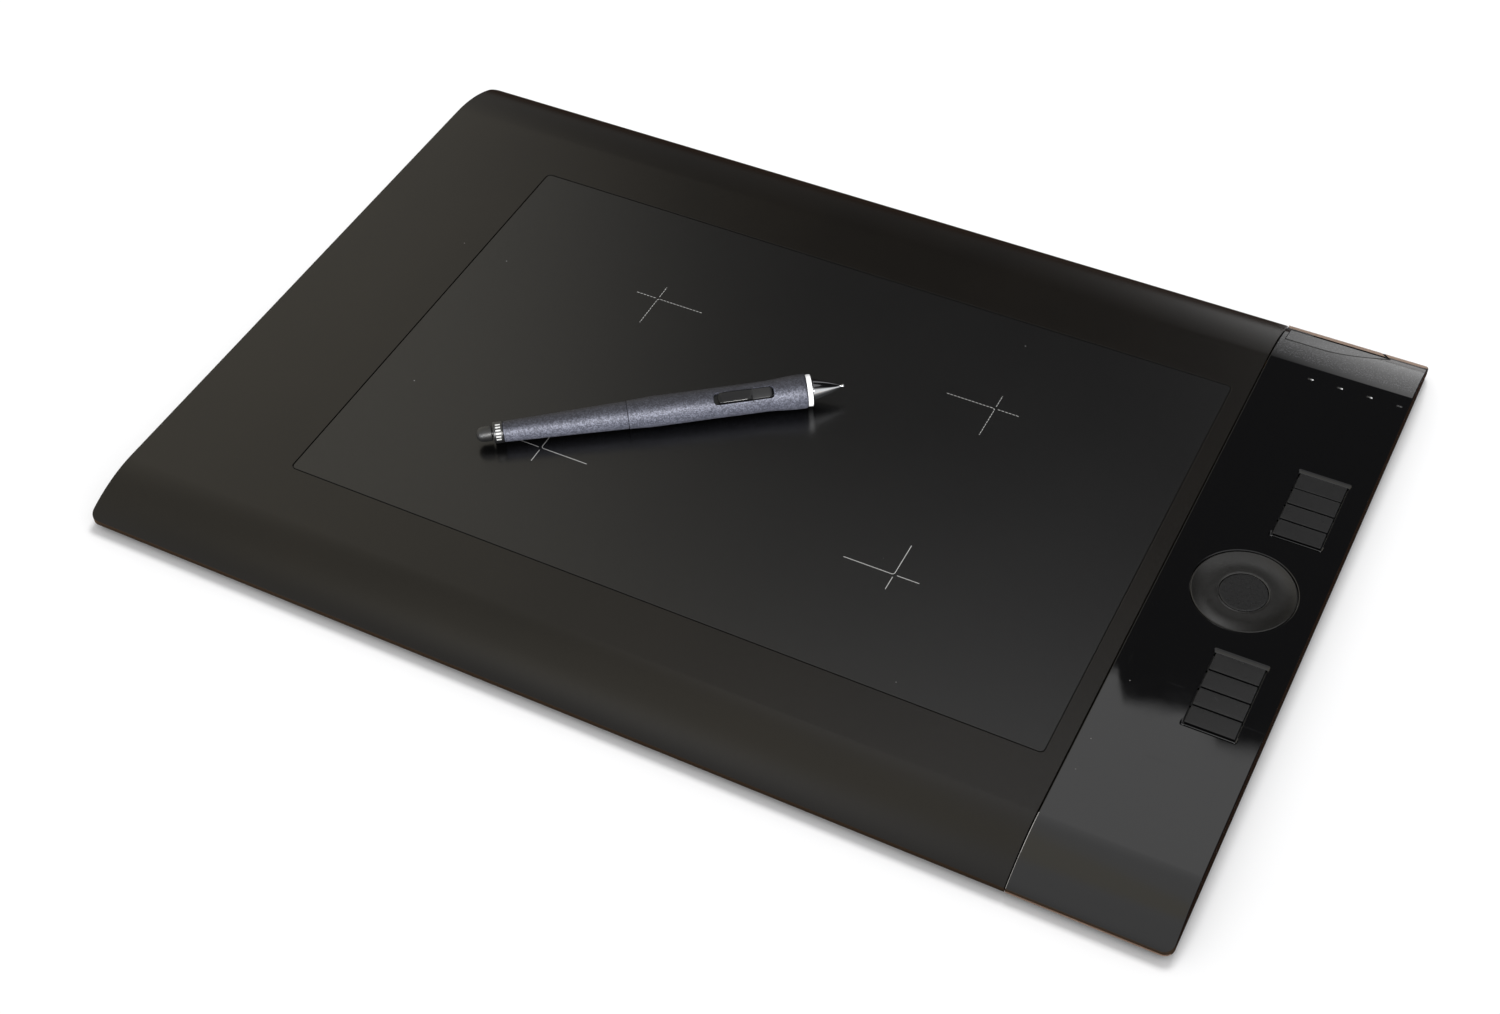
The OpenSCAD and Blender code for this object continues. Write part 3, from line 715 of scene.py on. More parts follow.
def shell(cut_x, end_x, front_radius, back_radius, edges, height, slope, extra=()):
    """Solid with rolled front and back, sharp plan corners at cut_x and round ones at end_x.
    edges holds the edge radii (left, right, front, back); height and slope are functions
    of y; extra adds rows of vertices at those y."""
    steps = 5
    way = 1 if end_x > cut_x else -1
    left_edge, right_edge, front_edge, back_edge = edges

    def side_radius(out_x):
        return left_edge if out_x < 0 else right_edge

    def depth_radius(out_y):
        return front_edge if out_y < 0 else back_edge

    def rounding(y, out_x, out_y, part):
        radius = side_radius(out_x) * out_x * out_x + depth_radius(out_y) * out_y * out_y
        lean = math.atan(slope(y) * abs(out_y)) if out_y * y > 0 else 0.0
        return edge_rounding(radius, lean, part)

    def point(x, y, out_x, out_y, k):
        part = k / steps
        if abs(out_x) == abs(out_y) == 1:          # sharp corner: both edges meet
            inset_x, rise_x = edge_rounding(side_radius(out_x), 0, part)
            inset_y, rise_y = edge_rounding(depth_radius(out_y), math.atan(slope(y)), part)
            rise = (rise_x + rise_y) / 2
        else:
            inset_x, rise = rounding(y, out_x, out_y, part)
            inset_y = inset_x
        x_in, y_in = x - out_x * inset_x, y - out_y * inset_y
        return x_in, y_in, height(y_in) if k == steps else height(y) + rise

    front_arc = corner_arc(end_x - way * front_radius, -BACK + front_radius, front_radius,
                           270 if way > 0 else 180)
    back_arc = corner_arc(end_x - way * back_radius, BACK - back_radius, back_radius,
                          0 if way > 0 else 90)
    # the cut side needs a row wherever the inner rim of the arcs has one
    arc_rows = sorted({round(y - out_y * rounding(y, out_x, out_y, 1)[0], 6)
                       for _, y, out_x, out_y in front_arc + back_arc})
    roll = [FLAT + i for i in range(30)]
    end_rows = sorted({-y for y in roll if y < BACK - front_radius - 0.3}
                      | {y for y in roll if y < BACK - back_radius - 0.3} | set(extra))
    between = {y for y in arc_rows if arc_rows[0] + 1e-4 < y < arc_rows[-1] - 1e-4}
    end_side = [(end_x, y, way, 0) for y in end_rows]
    cut_side = [(cut_x, y, -way, 0) for y in sorted(between | set(end_rows))]
    front_corner, back_corner = (cut_x, -BACK, -way, -1), (cut_x, BACK, -way, 1)
    if way > 0:
        outline = [front_corner, *front_arc, *end_side, *back_arc, back_corner, *cut_side[::-1]]
    else:
        outline = [*front_arc, front_corner, *cut_side, back_corner, *back_arc, *end_side[::-1]]

    build = Build()
    rings = [build.ring([point(*p, k) for p in outline]) for k in range(steps + 1)]
    build.chain(rings)
    chamfer = 0.3
    foot = [(0, BOTTOM + 1.0), (0, BOTTOM + chamfer),
            (chamfer * 0.29, BOTTOM + chamfer * 0.29), (chamfer, BOTTOM)]
    wall = rings[:1] + [build.ring(ring) for ring in inset_rings(outline, foot)]
    build.chain(wall)
    build.face(wall[-1][::-1])
    # top surface: rows that join the left rim to the right one
    left, right = {}, {}
    for i in rings[-1]:
        x, y, _ = build.verts[i]
        (left if x < (cut_x + end_x) / 2 else right)[round(y, 4)] = i
    rows = sorted(left)
    for y0, y1 in zip(rows, rows[1:]):
        build.face((left[y0], right[y0], right[y1], left[y1]))
    return build.make()


def cavity(x0, x1):
    lip = BACK - 7
    roof = [FLAT + (lip - FLAT) * i / 14 for i in range(15)]
    roof = [(y, min(TOP - SKIN, surface_z(y, SKIN))) for y in roof]
    section = [(-lip, BOTTOM - 1), (lip, BOTTOM - 1)] + roof[::-1] + [(-y, z) for y, z in roof]
    return loft([[(x, y, z) for y, z in section] for x in (x0, x1)])


def screw_bosses(obj, bosses):
    """Adds bosses given as (x, y, height), then drills their pilot holes."""
    boolean(obj, [rod(5, 5 + tall, 3.2, 32, stand(x, y)) for x, y, tall in bosses], "UNION")
    boolean(obj, [rod(4, 10.4, 1.05, 20, stand(x, y)) for x, y, _ in bosses])


# ------------------------------------------------------------------ upper housing
BOSS_Y = BACK - 18
BOSS_HEIGHT = 6.2

housing = shell(174.6, LEFT, 4.0, 4.0, (0.5, 0.34, 0.5, 0.45), surface_z, surface_slope)
boolean(housing, [cavity(LEFT + 2.2, 178)])
# stepped tongue that reaches under the control strip
tongue = slab(168.8, -124, 10.1, 174.2, 124, 12.1)
boolean(tongue, [slab(173.8, -124, 10.1, 177.8, 124, 11.6)], "UNION")
boolean(housing, [tongue], "UNION")
screw_bosses(housing, [(x, side * BOSS_Y, BOSS_HEIGHT) for x in (LEFT + 15, -80, 60, 164)
                       for side in (-1, 1)] + [(LEFT + 9, 0, TOP - SKIN - 4.6)])
SHEET_GAP = 0.35
SHEET_CORNER = 2.0
boolean(housing, [flare(rounded_rect(sheet_lo[0] - SHEET_GAP, sheet_lo[1] - SHEET_GAP,
                                     sheet_hi[0] + SHEET_GAP, sheet_hi[1] + SHEET_GAP,
                                     SHEET_CORNER + SHEET_GAP), sheet_lo[2], 0.22, reach=0.2)])
piece(housing, "upper_housing", "housing_matte", "tablet", "top_case")

# ------------------------------------------------------------------ work sheet
sheet = loft(inset_rings(
    rounded_rect(sheet_lo[0], sheet_lo[1], sheet_hi[0], sheet_hi[1], SHEET_CORNER),
    rounded_top(sheet_lo[2], sheet_hi[2], 0.2)))
piece(sheet, "drawing_sheet", "sheet_satin", "tablet", "work_sheet")


# ------------------------------------------------------------------ marks printed on the sheet
def stroke(build, path, width):
    """Flat ribbon along a path of (x, y), just proud of the sheet."""
    left, right = [], []
    for i, (x, y) in enumerate(path):
        from_x, from_y = path[max(i - 1, 0)]
        to_x, to_y = path[min(i + 1, len(path) - 1)]
        length = math.hypot(to_x - from_x, to_y - from_y)
        side_x, side_y = -(to_y - from_y) / length, (to_x - from_x) / length
        left.append((x + side_x * width / 2, y + side_y * width / 2))
        right.append((x - side_x * width / 2, y - side_y * width / 2))
    build.ribbon(*[[(x, y, sheet_hi[2] + lift) for x, y in left + right[::-1]]
                   for lift in (-0.02, 0.012)])


def finely(path):
    """The path with points about every 0.5 mm."""
    dense = [path[0]]
    for (x0, y0), (x1, y1) in zip(path, path[1:]):
        count = max(1, int(math.hypot(x1 - x0, y1 - y0) / 0.5))
        dense += [(x0 + (x1 - x0) * i / count, y0 + (y1 - y0) * i / count)
                  for i in range(1, count + 1)]
    return dense


def dashed(path, dash, space):
    """Cuts a path of (x, y) into dashes."""
    dashes, current, left, drawing = [], [path[0]], dash, True
    for (x0, y0), (x1, y1) in zip(path, path[1:]):
        length = math.hypot(x1 - x0, y1 - y0)
        done = 0.0
        while length - done > left + 1e-9:
            done += left
            point = (x0 + (x1 - x0) * done / length, y0 + (y1 - y0) * done / length)
            if drawing:
                current.append(point)
                dashes.append(current)
            current = [point]
            drawing = not drawing
            left = dash if drawing else space
        left -= length - done
        if drawing:
            current.append((x1, y1))
    if drawing and len(current) > 1 and math.dist(current[0], current[-1]) > 0.15:
        dashes.append(current)
    return dashes


MARK_X, MARK_Y = 81.3, 50.8           # centre of each mark, from the middle of the sheet
MARK_WIDTH = 0.32
BEND = 1.1                            # radius where the two long arms meet
LONG_X, LONG_Y = 22.1, 16.8           # arms towards the middle
SHORT_X, SHORT_Y = 10.9, 8.2          # arms away from the middle
SHORT_START = 1.3

marks = Build()
for side_x in (-1, 1):
    for side_y in (-1, 1):
        x, y = side_x * MARK_X, side_y * MARK_Y
        bend = [(x - side_x * (BEND - BEND * sin(rad(a))), y - side_y * (BEND - BEND * cos(rad(a))))
                for a in range(0, 91, 15)]
        arms = [[(x - side_x * LONG_X, y), *bend, (x, y - side_y * LONG_Y)],
                [(x + side_x * SHORT_START, y), (x + side_x * SHORT_X, y)],
                [(x, y + side_y * SHORT_START), (x, y + side_y * SHORT_Y)]]
        for arm in arms:
            if side_y > 0:            # the back pair is dashed
                for part in dashed(finely(arm), dash=1.15, space=0.5):
                    stroke(marks, part, MARK_WIDTH * 0.92)
            else:
                stroke(marks, arm, MARK_WIDTH)
piece(marks.make(), "quarter_marks", "sheet_satin", "tablet", mats=["sheet_print"],
      angle=60, weighted=False)

# ------------------------------------------------------------------ glossy control strip
LAND_FRONT = BACK - 1.95


def strip_z(y):
    return LAND_Z if y > LAND_FRONT else surface_z(y)


def strip_slope(y):
    return 0.0 if y > LAND_FRONT else surface_slope(y)


strip = shell(STRIP_LEFT, STRIP_RIGHT, 4.0, 1.3, (0.26, 0.45, 0.5, 0.22), strip_z, strip_slope,
              extra=(BACK - 1.9,))
boolean(strip, [cavity(172, STRIP_RIGHT - SKIN)])
screw_bosses(strip, [(STRIP_RIGHT - 8, BOSS_Y, BOSS_HEIGHT), (STRIP_RIGHT - 8, -BOSS_Y, BOSS_HEIGHT),
                     (STRIP_RIGHT - 53, -BOSS_Y, BOSS_HEIGHT)])

# two banks of four keys; the caps are 1.3 mm narrower than their flanges on each side
FLANGE = 1.3
KEYS = {i: box_mm("key_%d" % i) for i in range(1, 9)}
KEY_X = (KEYS[1][0][0] + KEYS[1][1][0]) / 2
KEY_HALF = (KEYS[1][1][0] - KEYS[1][0][0] - 2 * FLANGE) / 2
BANKS = [(KEYS[last][0][1] - 0.3, KEYS[first][1][1] + 0.3) for first, last in ((1, 4), (5, 8))]
# finger scoop across the front and back end of each bank
scoop_half = KEY_HALF + 1.1
scoop = [(-scoop_half, 0), (-scoop_half, 1.5)]
scoop += fillet(-scoop_half, 1.5, -scoop_half + 0.85, 2.35, 8)
scoop += [(-along, radius) for along, radius in scoop[::-1]]
boolean(strip, [lathe(scoop, 128, Matrix.Translation((KEY_X, y, TOP + 1.6)))
                for bank in BANKS for y in bank])

# openings for the key banks, the touch ring and the indicator windows
OPENING_Z = 9.0
OPENING_RADIUS = 21.0
ring_lo, ring_hi = box_mm("touch_ring")
RING_X = (ring_lo[0] + ring_hi[0]) / 2
openings = [flare(rounded_rect(KEY_X - KEY_HALF - 0.3, y0, KEY_X + KEY_HALF + 0.3, y1, 0.35, 4),
                  OPENING_Z, 0.16, reach=0.12) for y0, y1 in BANKS]
turns = [2 * pi * k / 160 for k in range(160)]
circle = [(RING_X + OPENING_RADIUS * cos(a), OPENING_RADIUS * sin(a), cos(a), sin(a))
          for a in turns]
openings.append(flare(circle, OPENING_Z, 0.42, steps=6, reach=0.15))
for x in LIGHTS:
    openings.append(flare(
        rounded_rect(x - 1.35, LIGHT_Y - 0.47, x + 1.35, LIGHT_Y + 0.47, 0.45, 5),
        OPENING_Z, 0.07, steps=3, reach=0.06))
boolean(strip, openings)

# finger recess in front of the port cover: bowed front edge, flat sloping floor
RECESS_BACK = BACK - 4.4
BOW_X = STRIP_RIGHT - 43              # the front edge bows back to the right of this
FLOOR_FRONT, FLOOR_HIGH, FLOOR_LOW = BACK - 17, 11.75, 7.425
FLOOR_FALL = (FLOOR_HIGH - FLOOR_LOW) / (RECESS_BACK + 0.5 - FLOOR_FRONT)
COVER_LEFT, COVER_RIGHT = 190.6, 220.4
PORT_LEFT, PORT_RIGHT = 178.3, 220.7


def recess_front(x):
    return BACK - 15 + (10.6 * ((x - BOW_X) / 28) ** 1.7 if x > BOW_X else 0)


def recess_step(y):
    """Run of the short slope down from the front edge; it shrinks as the recess narrows."""
    return min(0.35, (RECESS_BACK + 0.3 - y) / 5)


def recess_section(y):
    step = recess_step(y)
    floor_rows = [(row, FLOOR_HIGH - (row - FLOOR_FRONT) * FLOOR_FALL)
                  for row in (y + step, y + 4.4 * step, RECESS_BACK + 0.3)]
    return [(y - 0.45, surface_z(y - 0.45) + 2), (y - 0.45, surface_z(y - 0.45) + 0.12),
            (y - 0.02, surface_z(y) - 0.16), *floor_rows,
            (RECESS_BACK + 0.3, surface_z(RECESS_BACK) + 2)]


def parting_section(y):
    """Fine groove that follows the bow."""
    high, low = surface_z(y) + 1.2, surface_z(y) - 0.8
    return [(y - 0.30, high), (y - 0.30, low), (y + 0.28, low), (y + 0.28, high)]


stations = [177.0 + (BOW_X - 177.0) * i / 6 for i in range(6)]
stations += [BOW_X + 27.2 * i / 22 for i in range(23)]
for section in (recess_section, parting_section):
    boolean(strip, [loft([[(x, y, z) for y, z in section(recess_front(x))] for x in stations])])

# port step and bay
boolean(strip, [slab(PORT_LEFT, BACK - 1, BOTTOM - 1, PORT_RIGHT, BACK + 1, 5.72),
                slab(PORT_LEFT, BACK - 9, BOTTOM - 1, PORT_RIGHT, BACK - 2.2, 5.1)])
# groove along the back, wide behind the recess, and a slanted slit
GROOVE_BACK = BACK - 1.8
slit = slab(-0.45, -4, 5.73, 0.45, 4, 9)
slit.data.transform(Matrix.Translation((217.6, BACK - 0.6, 0)) @ Matrix.Rotation(rad(52), 4, "Z"))
for cutter in (slab(STRIP_RIGHT - 50, RECESS_BACK, 5.65, PORT_RIGHT, GROOVE_BACK, 9),
               slab(STRIP_LEFT + 0.7, BACK - 2.5, 5.6, STRIP_RIGHT - 49.9, GROOVE_BACK, 9),
               slab(PORT_RIGHT - 0.1, BACK - 2.5, 5.6, STRIP_RIGHT - 1.6, GROOVE_BACK, 9), slit):
    boolean(strip, [cutter])
# slot for the cover's neck and the open window at its right end
boolean(strip, [slab(179.6, BACK - 3.4, 3.6, 209, BACK, 4.5),
                slab(208.2, BACK - 3.4, BOTTOM - 1, 219.8, BACK, 5)])
GLOSS, RIM, RAW, EDGE = range(4)      # material slots, in the order given below
piece(strip, "gloss_strip", "strip_gloss", "tablet", "control_strip",
      mats=["strip_gloss", "bronze_painted_reflection", "strip_raw", "strip_painted_edge_highlight"])


def strip_finish(centre, normal):
    """Material slot of a face from its centre (mm) and normal."""
    x, y, z = centre
    front = recess_front(x)
    if y > LAND_FRONT and 5.8 < z < 6.6 and normal.z > 0.9:
        return RIM                    # back land, painted bronze reflection
    if x < STRIP_LEFT + 0.3 and y < -FLAT + 2 and normal.x < -0.15 and normal.z > 0.25:
        return EDGE                   # left edge of the front roll, painted highlight
    if y < -BACK + 1.6 and normal.y < -0.5 and z < BOTTOM + 1.0:
        return RIM                    # foot of the front wall, painted bronze reflection
    if y > BACK - 0.3 and 5.7 < z and normal.y > 0.2:
        return RAW                    # back edge above the port
    if (BACK - 15.4 < y < RECESS_BACK + 0.2 and 176.5 < x < STRIP_RIGHT - 15
            and TOP - 7 < z < surface_z(y) - 0.1
            and -0.4 < y - front < 4.1 * recess_step(front)):
        return RAW                    # front slope of the recess
    if (y > RECESS_BACK - 0.02 and z < 7.8 and not (y > BACK - 1.7 and z > 5.75)
            and (y < BACK - 0.3 or PORT_LEFT < x < PORT_RIGHT)):
        return RAW                    # port bay and groove
    if z < TOP - SKIN + 0.1 and y < RECESS_BACK and abs(normal.z) > 0.99:
        return RAW                    # level faces inside
    return GLOSS


for polygon in strip.data.polygons:
    polygon.material_index = strip_finish(polygon.center * 1000, polygon.normal)

# ------------------------------------------------------------------ keys
UNDERSIDE = TOP - SKIN
for i, (key_lo, key_hi) in KEYS.items():
    front, back, z_top = key_lo[1], key_hi[1], key_hi[2]
    # (inset, z): rounded edge, then a slight crown
    levels = rounded_top(UNDERSIDE - 0.4, z_top - 0.02, 0.2, 5)
    levels += [(1.0, z_top - 0.006), (2.2, z_top)]
    rings = []
    for inset, z in levels:
        outline = rounded_rect(
            KEY_X - KEY_HALF + 0.3 + inset, front + 0.2 + inset,
            KEY_X + KEY_HALF - 0.15 - inset, back - 0.2 - inset, max(0.35 - inset, 0.02), 5)
        rings.append([(x, y, z) for x, y, _, _ in outline])
    cap = loft(rings)
    flange = slab(KEY_X - KEY_HALF - FLANGE, front + 0.4, UNDERSIDE - 1.1,
                  KEY_X + KEY_HALF + FLANGE, back - 0.4, UNDERSIDE - 0.05)
    post = rod(key_lo[2], UNDERSIDE - 0.5, 2.0, 32, stand(KEY_X, (front + back) / 2))
    boolean(cap, [flange, post], "UNION")
    piece(cap, "key_cap_%d" % i, "key_matte", "key_%d" % i, "key_%d" % i)

# ------------------------------------------------------------------ touch ring
# a shallow dish with a fine rounded rim; profiles here are (z, radius)
BUTTON_RADIUS = 9.45
DISH_Z, DISH_RISE = TOP - 1.0, 0.80
DISH_START = 12.6                     # radius where the flat turns into the dish
lip = BUTTON_RADIUS + 0.53
profile = [(11.1, BUTTON_RADIUS + 0.35), (DISH_Z - 0.16, BUTTON_RADIUS + 0.35),
           (DISH_Z - 0.05, BUTTON_RADIUS + 0.40), (DISH_Z, lip)]
profile += [(DISH_Z, lip + (DISH_START - lip) * k / 3) for k in range(1, 4)]
profile += [(DISH_Z + DISH_RISE * (k / 24) ** 2.15, DISH_START + 7.65 * (k / 24))
            for k in range(1, 25)]
profile += [(DISH_Z + DISH_RISE - 0.36 * (1 - cos(rad(13 * k))), 20.25 + 0.4284 * sin(rad(13 * k)))
            for k in range(1, 7)]
profile += [(UNDERSIDE - 0.05, 20.7), (UNDERSIDE - 0.05, 22.6), (10.5, 22.6), (10.5, 11.5),
            (11.1, 11.5)]
piece(lathe(profile, 192, stand(RING_X, 0)), "dished_ring", "ring_matte", "tablet", "touch_ring")

# centre button
button_z = box_mm("ring_button")[1][2]
profile = [(9.5, 0), (9.5, 2.0), (10.2, 2.0), (10.2, 10.9), (11.0, 10.9), (11.0, BUTTON_RADIUS)]
profile += fillet(button_z - 0.2, BUTTON_RADIUS, button_z, BUTTON_RADIUS - 0.2, 5)
profile += [(button_z, 8.6), (button_z - 0.02, 6.0), (button_z - 0.03, 3.0),
            (button_z - 0.03, 0)]
piece(lathe(profile, 160, stand(RING_X, 0)), "dish_button", "ring_matte", "ring_button",
      "ring_button", mats=["button_matte"])

# ------------------------------------------------------------------ indicator windows
LENS_LEVELS = [(0, UNDERSIDE - 1.45), (0, TOP - 0.16), (0.05, TOP - 0.09), (0.16, TOP - 0.05),
               (0.3, TOP - 0.03)]
FOOT_LEVELS = rounded_top(UNDERSIDE - 2.4, UNDERSIDE - 1.4, 0.1, 2)
windows = Build()
for x in LIGHTS:
    windows.loft(inset_rings(
        rounded_rect(x - 1.3, LIGHT_Y - 0.42, x + 1.3, LIGHT_Y + 0.42, 0.4, 6), LENS_LEVELS))
    windows.loft(inset_rings(
        rounded_rect(x - 1.7, LIGHT_Y - 1.1, x + 1.7, LIGHT_Y + 1.1, 0.2, 2), FOOT_LEVELS))
piece(windows.make(), "status_windows", "light_guide", "tablet", "indicator_lights")

# ------------------------------------------------------------------ sliding port cover
# a bar at the back edge, with a neck and a T head reaching forward into the strip's slot
cover_lo, cover_hi = box_mm("port_cover")
outer, inner = cover_hi[1], cover_hi[1] - 0.95
low, high = cover_lo[2], cover_hi[2] + 0.08
section = [(inner, low + 0.1), (inner + 0.1, low), (outer - 0.35, low), (outer - 0.1, low + 0.1),
           (outer, low + 0.35), (outer, high - 0.16), (outer - 0.05, high - 0.05),
           (outer - 0.16, high), (inner + 0.08, high), (inner, high - 0.08)]
mid_y = sum(y for y, _ in section) / len(section)
mid_z = sum(z for _, z in section) / len(section)
TAPER = [(0, 0.88), (0.05, 0.958), (0.14, 1)]      # (distance from the end, scale)
ends = [(COVER_LEFT + inset, scale) for inset, scale in TAPER]
ends += [(COVER_RIGHT - inset, scale) for inset, scale in TAPER[::-1]]
cover = loft([[(x, mid_y + (y - mid_y) * scale, mid_z + (z - mid_z) * scale)
               for y, z in section] for x, scale in ends])
neck = slab(COVER_LEFT + 2.4, BACK - 2.6, 3.7, COVER_LEFT + 9.4, inner + 0.3, 4.4)
head = slab(COVER_LEFT + 1.4, BACK - 3.2, 3.1, COVER_LEFT + 10.4, BACK - 2.3, 4.95)
boolean(neck, [head], "UNION")
# five fine grooves in the outer face
grooves = [COVER_LEFT + 2.5 + 1.2 * k for k in range(5)]
boolean(cover, [slab(x, outer - 0.12, 3.0, x + 0.5, outer + 1, 5.2) for x in grooves])
boolean(cover, [neck], "UNION")
piece(cover, "sliding_cover", "port_gloss", "port_cover", "port_cover")

# ------------------------------------------------------------------ pen placement
# SWITCH turns the pen about its own axis to face the rocker; PEN takes pen space to the scene
SWITCH_PIVOT = Vector((117, 0, 5.4))
axis = Vector(JOINTS["pen_tip_press"]["axis"]).normalized()
TURN = (Matrix.Rotation(math.atan2(axis.y, axis.x), 4, "Z")
        @ Matrix.Rotation(-math.asin(axis.z), 4, "Y"))
hinge = TURN.inverted().to_3x3() @ Vector(JOINTS["pen_switch_rock"]["axis"])
SWITCH = Matrix.Rotation(math.atan2(hinge.z, hinge.y), 4, "X")
pivot = Vector(JOINTS["pen_switch_rock"]["pos_m"]) * 1000
PEN = Matrix.Translation(pivot - TURN.to_3x3() @ (SWITCH.to_3x3() @ SWITCH_PIVOT)) @ TURN


def ease(part):
    part = max(0.0, min(1.0, part))
    return part * part * (3 - 2 * part)


def grip_radius(along):
    if along < 75:
        return 6.05 + 0.45 * ease((along - 64.2) / 10.8)
    if along < 100:
        return 6.5 - 0.04 * (along - 75) / 25
    if along < 122:
        return 6.46 + 0.04 * (along - 100) / 22
    return 6.5 + 0.85 * ease((along - 122) / 15.4)


def pen_piece(obj, name, slot, node, body="pen", **options):
    piece(obj, name, slot, body, node, angle=40, **options)


# ------------------------------------------------------------------ pen; profiles (along, radius)
# front barrel with the rocker's slot
profile = [(64.2, 4.62)] + fillet(64.2, 5.83, 64.4, 6.06, 3)
profile += [(65.4 + 1.35 * k, grip_radius(65.4 + 1.35 * k)) for k in range(53)]
profile += fillet(138.9, 7.35, 140.0, 6.85, 6) + [(140.0, 4.62)]
barrel = lathe(profile, 144)
slot_cutter = flare(rounded_rect(100.6, -2.6, 126.0, 2.6, 1.5), 3.2, 0.32, steps=4, reach=0.15,
                    top=lambda x, y: sqrt(grip_radius(x) ** 2 - y * y))
slot_cutter.data.transform(SWITCH)
boolean(barrel, [slot_cutter])
barrel.data.transform(PEN)
pen_piece(barrel, "pen_grip_barrel", "pen_metallic", "pen_front_barrel")

# rear barrel with a spigot
profile = [(11.7, 3.4)] + fillet(11.7, 4.15, 12.0, 4.4, 4)
profile += [(12.0 + 51.6 * i / 30, 4.4 + 1.5 * i / 30) for i in range(1, 31)]
profile += [(63.85, 5.88), (64.0, 5.76), (64.05, 5.6), (64.05, 4.56), (70, 4.56), (70, 3.4)]
pen_piece(lathe(profile, 144, PEN), "pen_tail_barrel", "pen_metallic", "pen_rear_barrel")

# black band near the eraser
profile = [(7.4, 1.6), (7.4, 4.0)] + fillet(7.4, 4.15, 7.8, 4.6, 5)
profile += fillet(11.25, 4.6, 11.6, 4.25, 4) + [(11.6, 3.34), (16, 3.34), (16, 1.6)]
pen_piece(lathe(profile, 128, PEN), "pen_band", "pen_black", "pen_tail_band")

# six ticks round the band, 17 degrees apart and 8.8 degrees wide
ticks = Build()
for k in range(6):
    angles = [rad(177 - 17 * k + 4.4 - 2.2 * i) for i in range(5)]
    ticks.ribbon(*[[(8.5, radius * cos(a), radius * sin(a)) for a in angles]
                   + [(10.6, radius * cos(a), radius * sin(a)) for a in angles[::-1]]
                   for radius in (4.57, 4.625)])
pen_piece(ticks.make(PEN), "pen_band_ticks", "pen_black", None, mats=["sheet_print"],
          weighted=False)

# eraser: domed end on a stem
profile = fillet(0, 0, 3.1, 3.25, 14)
profile += [(5.0, 3.29), (6.4, 3.3), (6.62, 3.24), (6.7, 3.1), (6.7, 1.54), (17.6, 1.54),
            (17.6, 2.4), (18.4, 2.4), (18.4, 0)]
pen_piece(lathe(profile, 112, PEN), "pen_eraser_tip", "pen_black", "pen_eraser",
          body="pen_eraser", mats=["pen_eraser_black"])

# rocker switch: raised glossy rear, lower matte front
ROCKER_REAR, ROCKER_FRONT, ROCKER_HALF = 102.4, 125.2, 2.35
ROCKER_CORNER, ROCKER_CROWN = 0.55, 0.15
ROCKER_END = 1.3                      # length over which each end rounds off in plan
ROCKER_HEIGHTS = [                    # (along, height)
    (102.4, 6.25), (103.2, 6.85), (104.4, 7.04), (109, 7.08), (114.6, 7.0), (116.0, 6.86),
    (117.0, 6.52), (118.4, 6.42), (121, 6.44), (124.2, 6.50), (124.9, 6.36), (125.2, 6.05)]


def rocker_height(along):
    """Eased over short spans of the table, straight over long ones."""
    for (start, height0), (end, height1) in zip(ROCKER_HEIGHTS, ROCKER_HEIGHTS[1:]):
        if along <= end:
            part = (along - start) / (end - start)
            return height0 + (height1 - height0) * (ease(part) if end - start < 2.5 else part)


def rocker_half_width(along):
    inside = min(along - ROCKER_REAR, ROCKER_FRONT - along, ROCKER_END)
    return ROCKER_HALF - (ROCKER_END - sqrt(inside * (2 * ROCKER_END - inside))) * 0.85


def rocker_ring(along):
    half = rocker_half_width(along)
    shoulder = rocker_height(along) - ROCKER_CROWN
    spring = shoulder - ROCKER_CORNER
    side = [(half, 5.0), (half, spring)]
    side += [(half - ROCKER_CORNER * (1 - cos(rad(18 * k))), spring + ROCKER_CORNER * sin(rad(18 * k)))
             for k in range(1, 6)]
    crown = [(part * (half - ROCKER_CORNER), shoulder + ROCKER_CROWN * (1 - part ** 2))
             for part in (-0.5, 0, 0.5)]
    return [(along, y, z) for y, z in [(-y, z) for y, z in side] + crown + side[::-1]]


ends = [0, 0.06, 0.2, 0.45, 0.8, ROCKER_END]
middle = ROCKER_FRONT - ROCKER_REAR - 2 * ROCKER_END
stations = [ROCKER_REAR + inset for inset in ends]
stations += [ROCKER_REAR + ROCKER_END + middle * i / 34 for i in range(1, 34)]
stations += [ROCKER_FRONT - inset for inset in ends[::-1]]
rocker = loft([rocker_ring(along) for along in stations])
pin = rod(-3.1, 3.1, 0.5, 24, Matrix.Translation(SWITCH_PIVOT) @ Matrix.Rotation(rad(90), 4, "Z"))
legs = [slab(x0, -2.0, 4.5, x1, 2.0, 5.2) for x0, x1 in ((105, 109), (121.2, 124))]
boolean(rocker, [pin] + legs, "UNION")
glossy = [polygon.index for polygon in rocker.data.polygons if polygon.center.x < 116.6]
rocker.data.transform(PEN @ SWITCH)
piece(rocker, "pen_rocker", "pen_switch_black", "pen_side_switch", "pen_side_switch",
      mats=["switch_matte", "switch_gloss"], angle=45)
second_finish(rocker, glossy)

# white ring with a black front edge
profile = [(140.1, 4.62), (140.1, 6.35)] + fillet(140.1, 6.45, 140.5, 6.8, 5)
profile += fillet(142.1, 6.8, 142.5, 6.4, 5) + [(142.5, 4.62)]
white_ring = lathe(profile, 144)
dark = [polygon.index for polygon in white_ring.data.polygons if polygon.center.x > 142.12]
white_ring.data.transform(PEN)
pen_piece(white_ring, "pen_white_ring", "pen_white", "pen_ring", mats=["pen_white", "pen_black"])
second_finish(white_ring, dark)

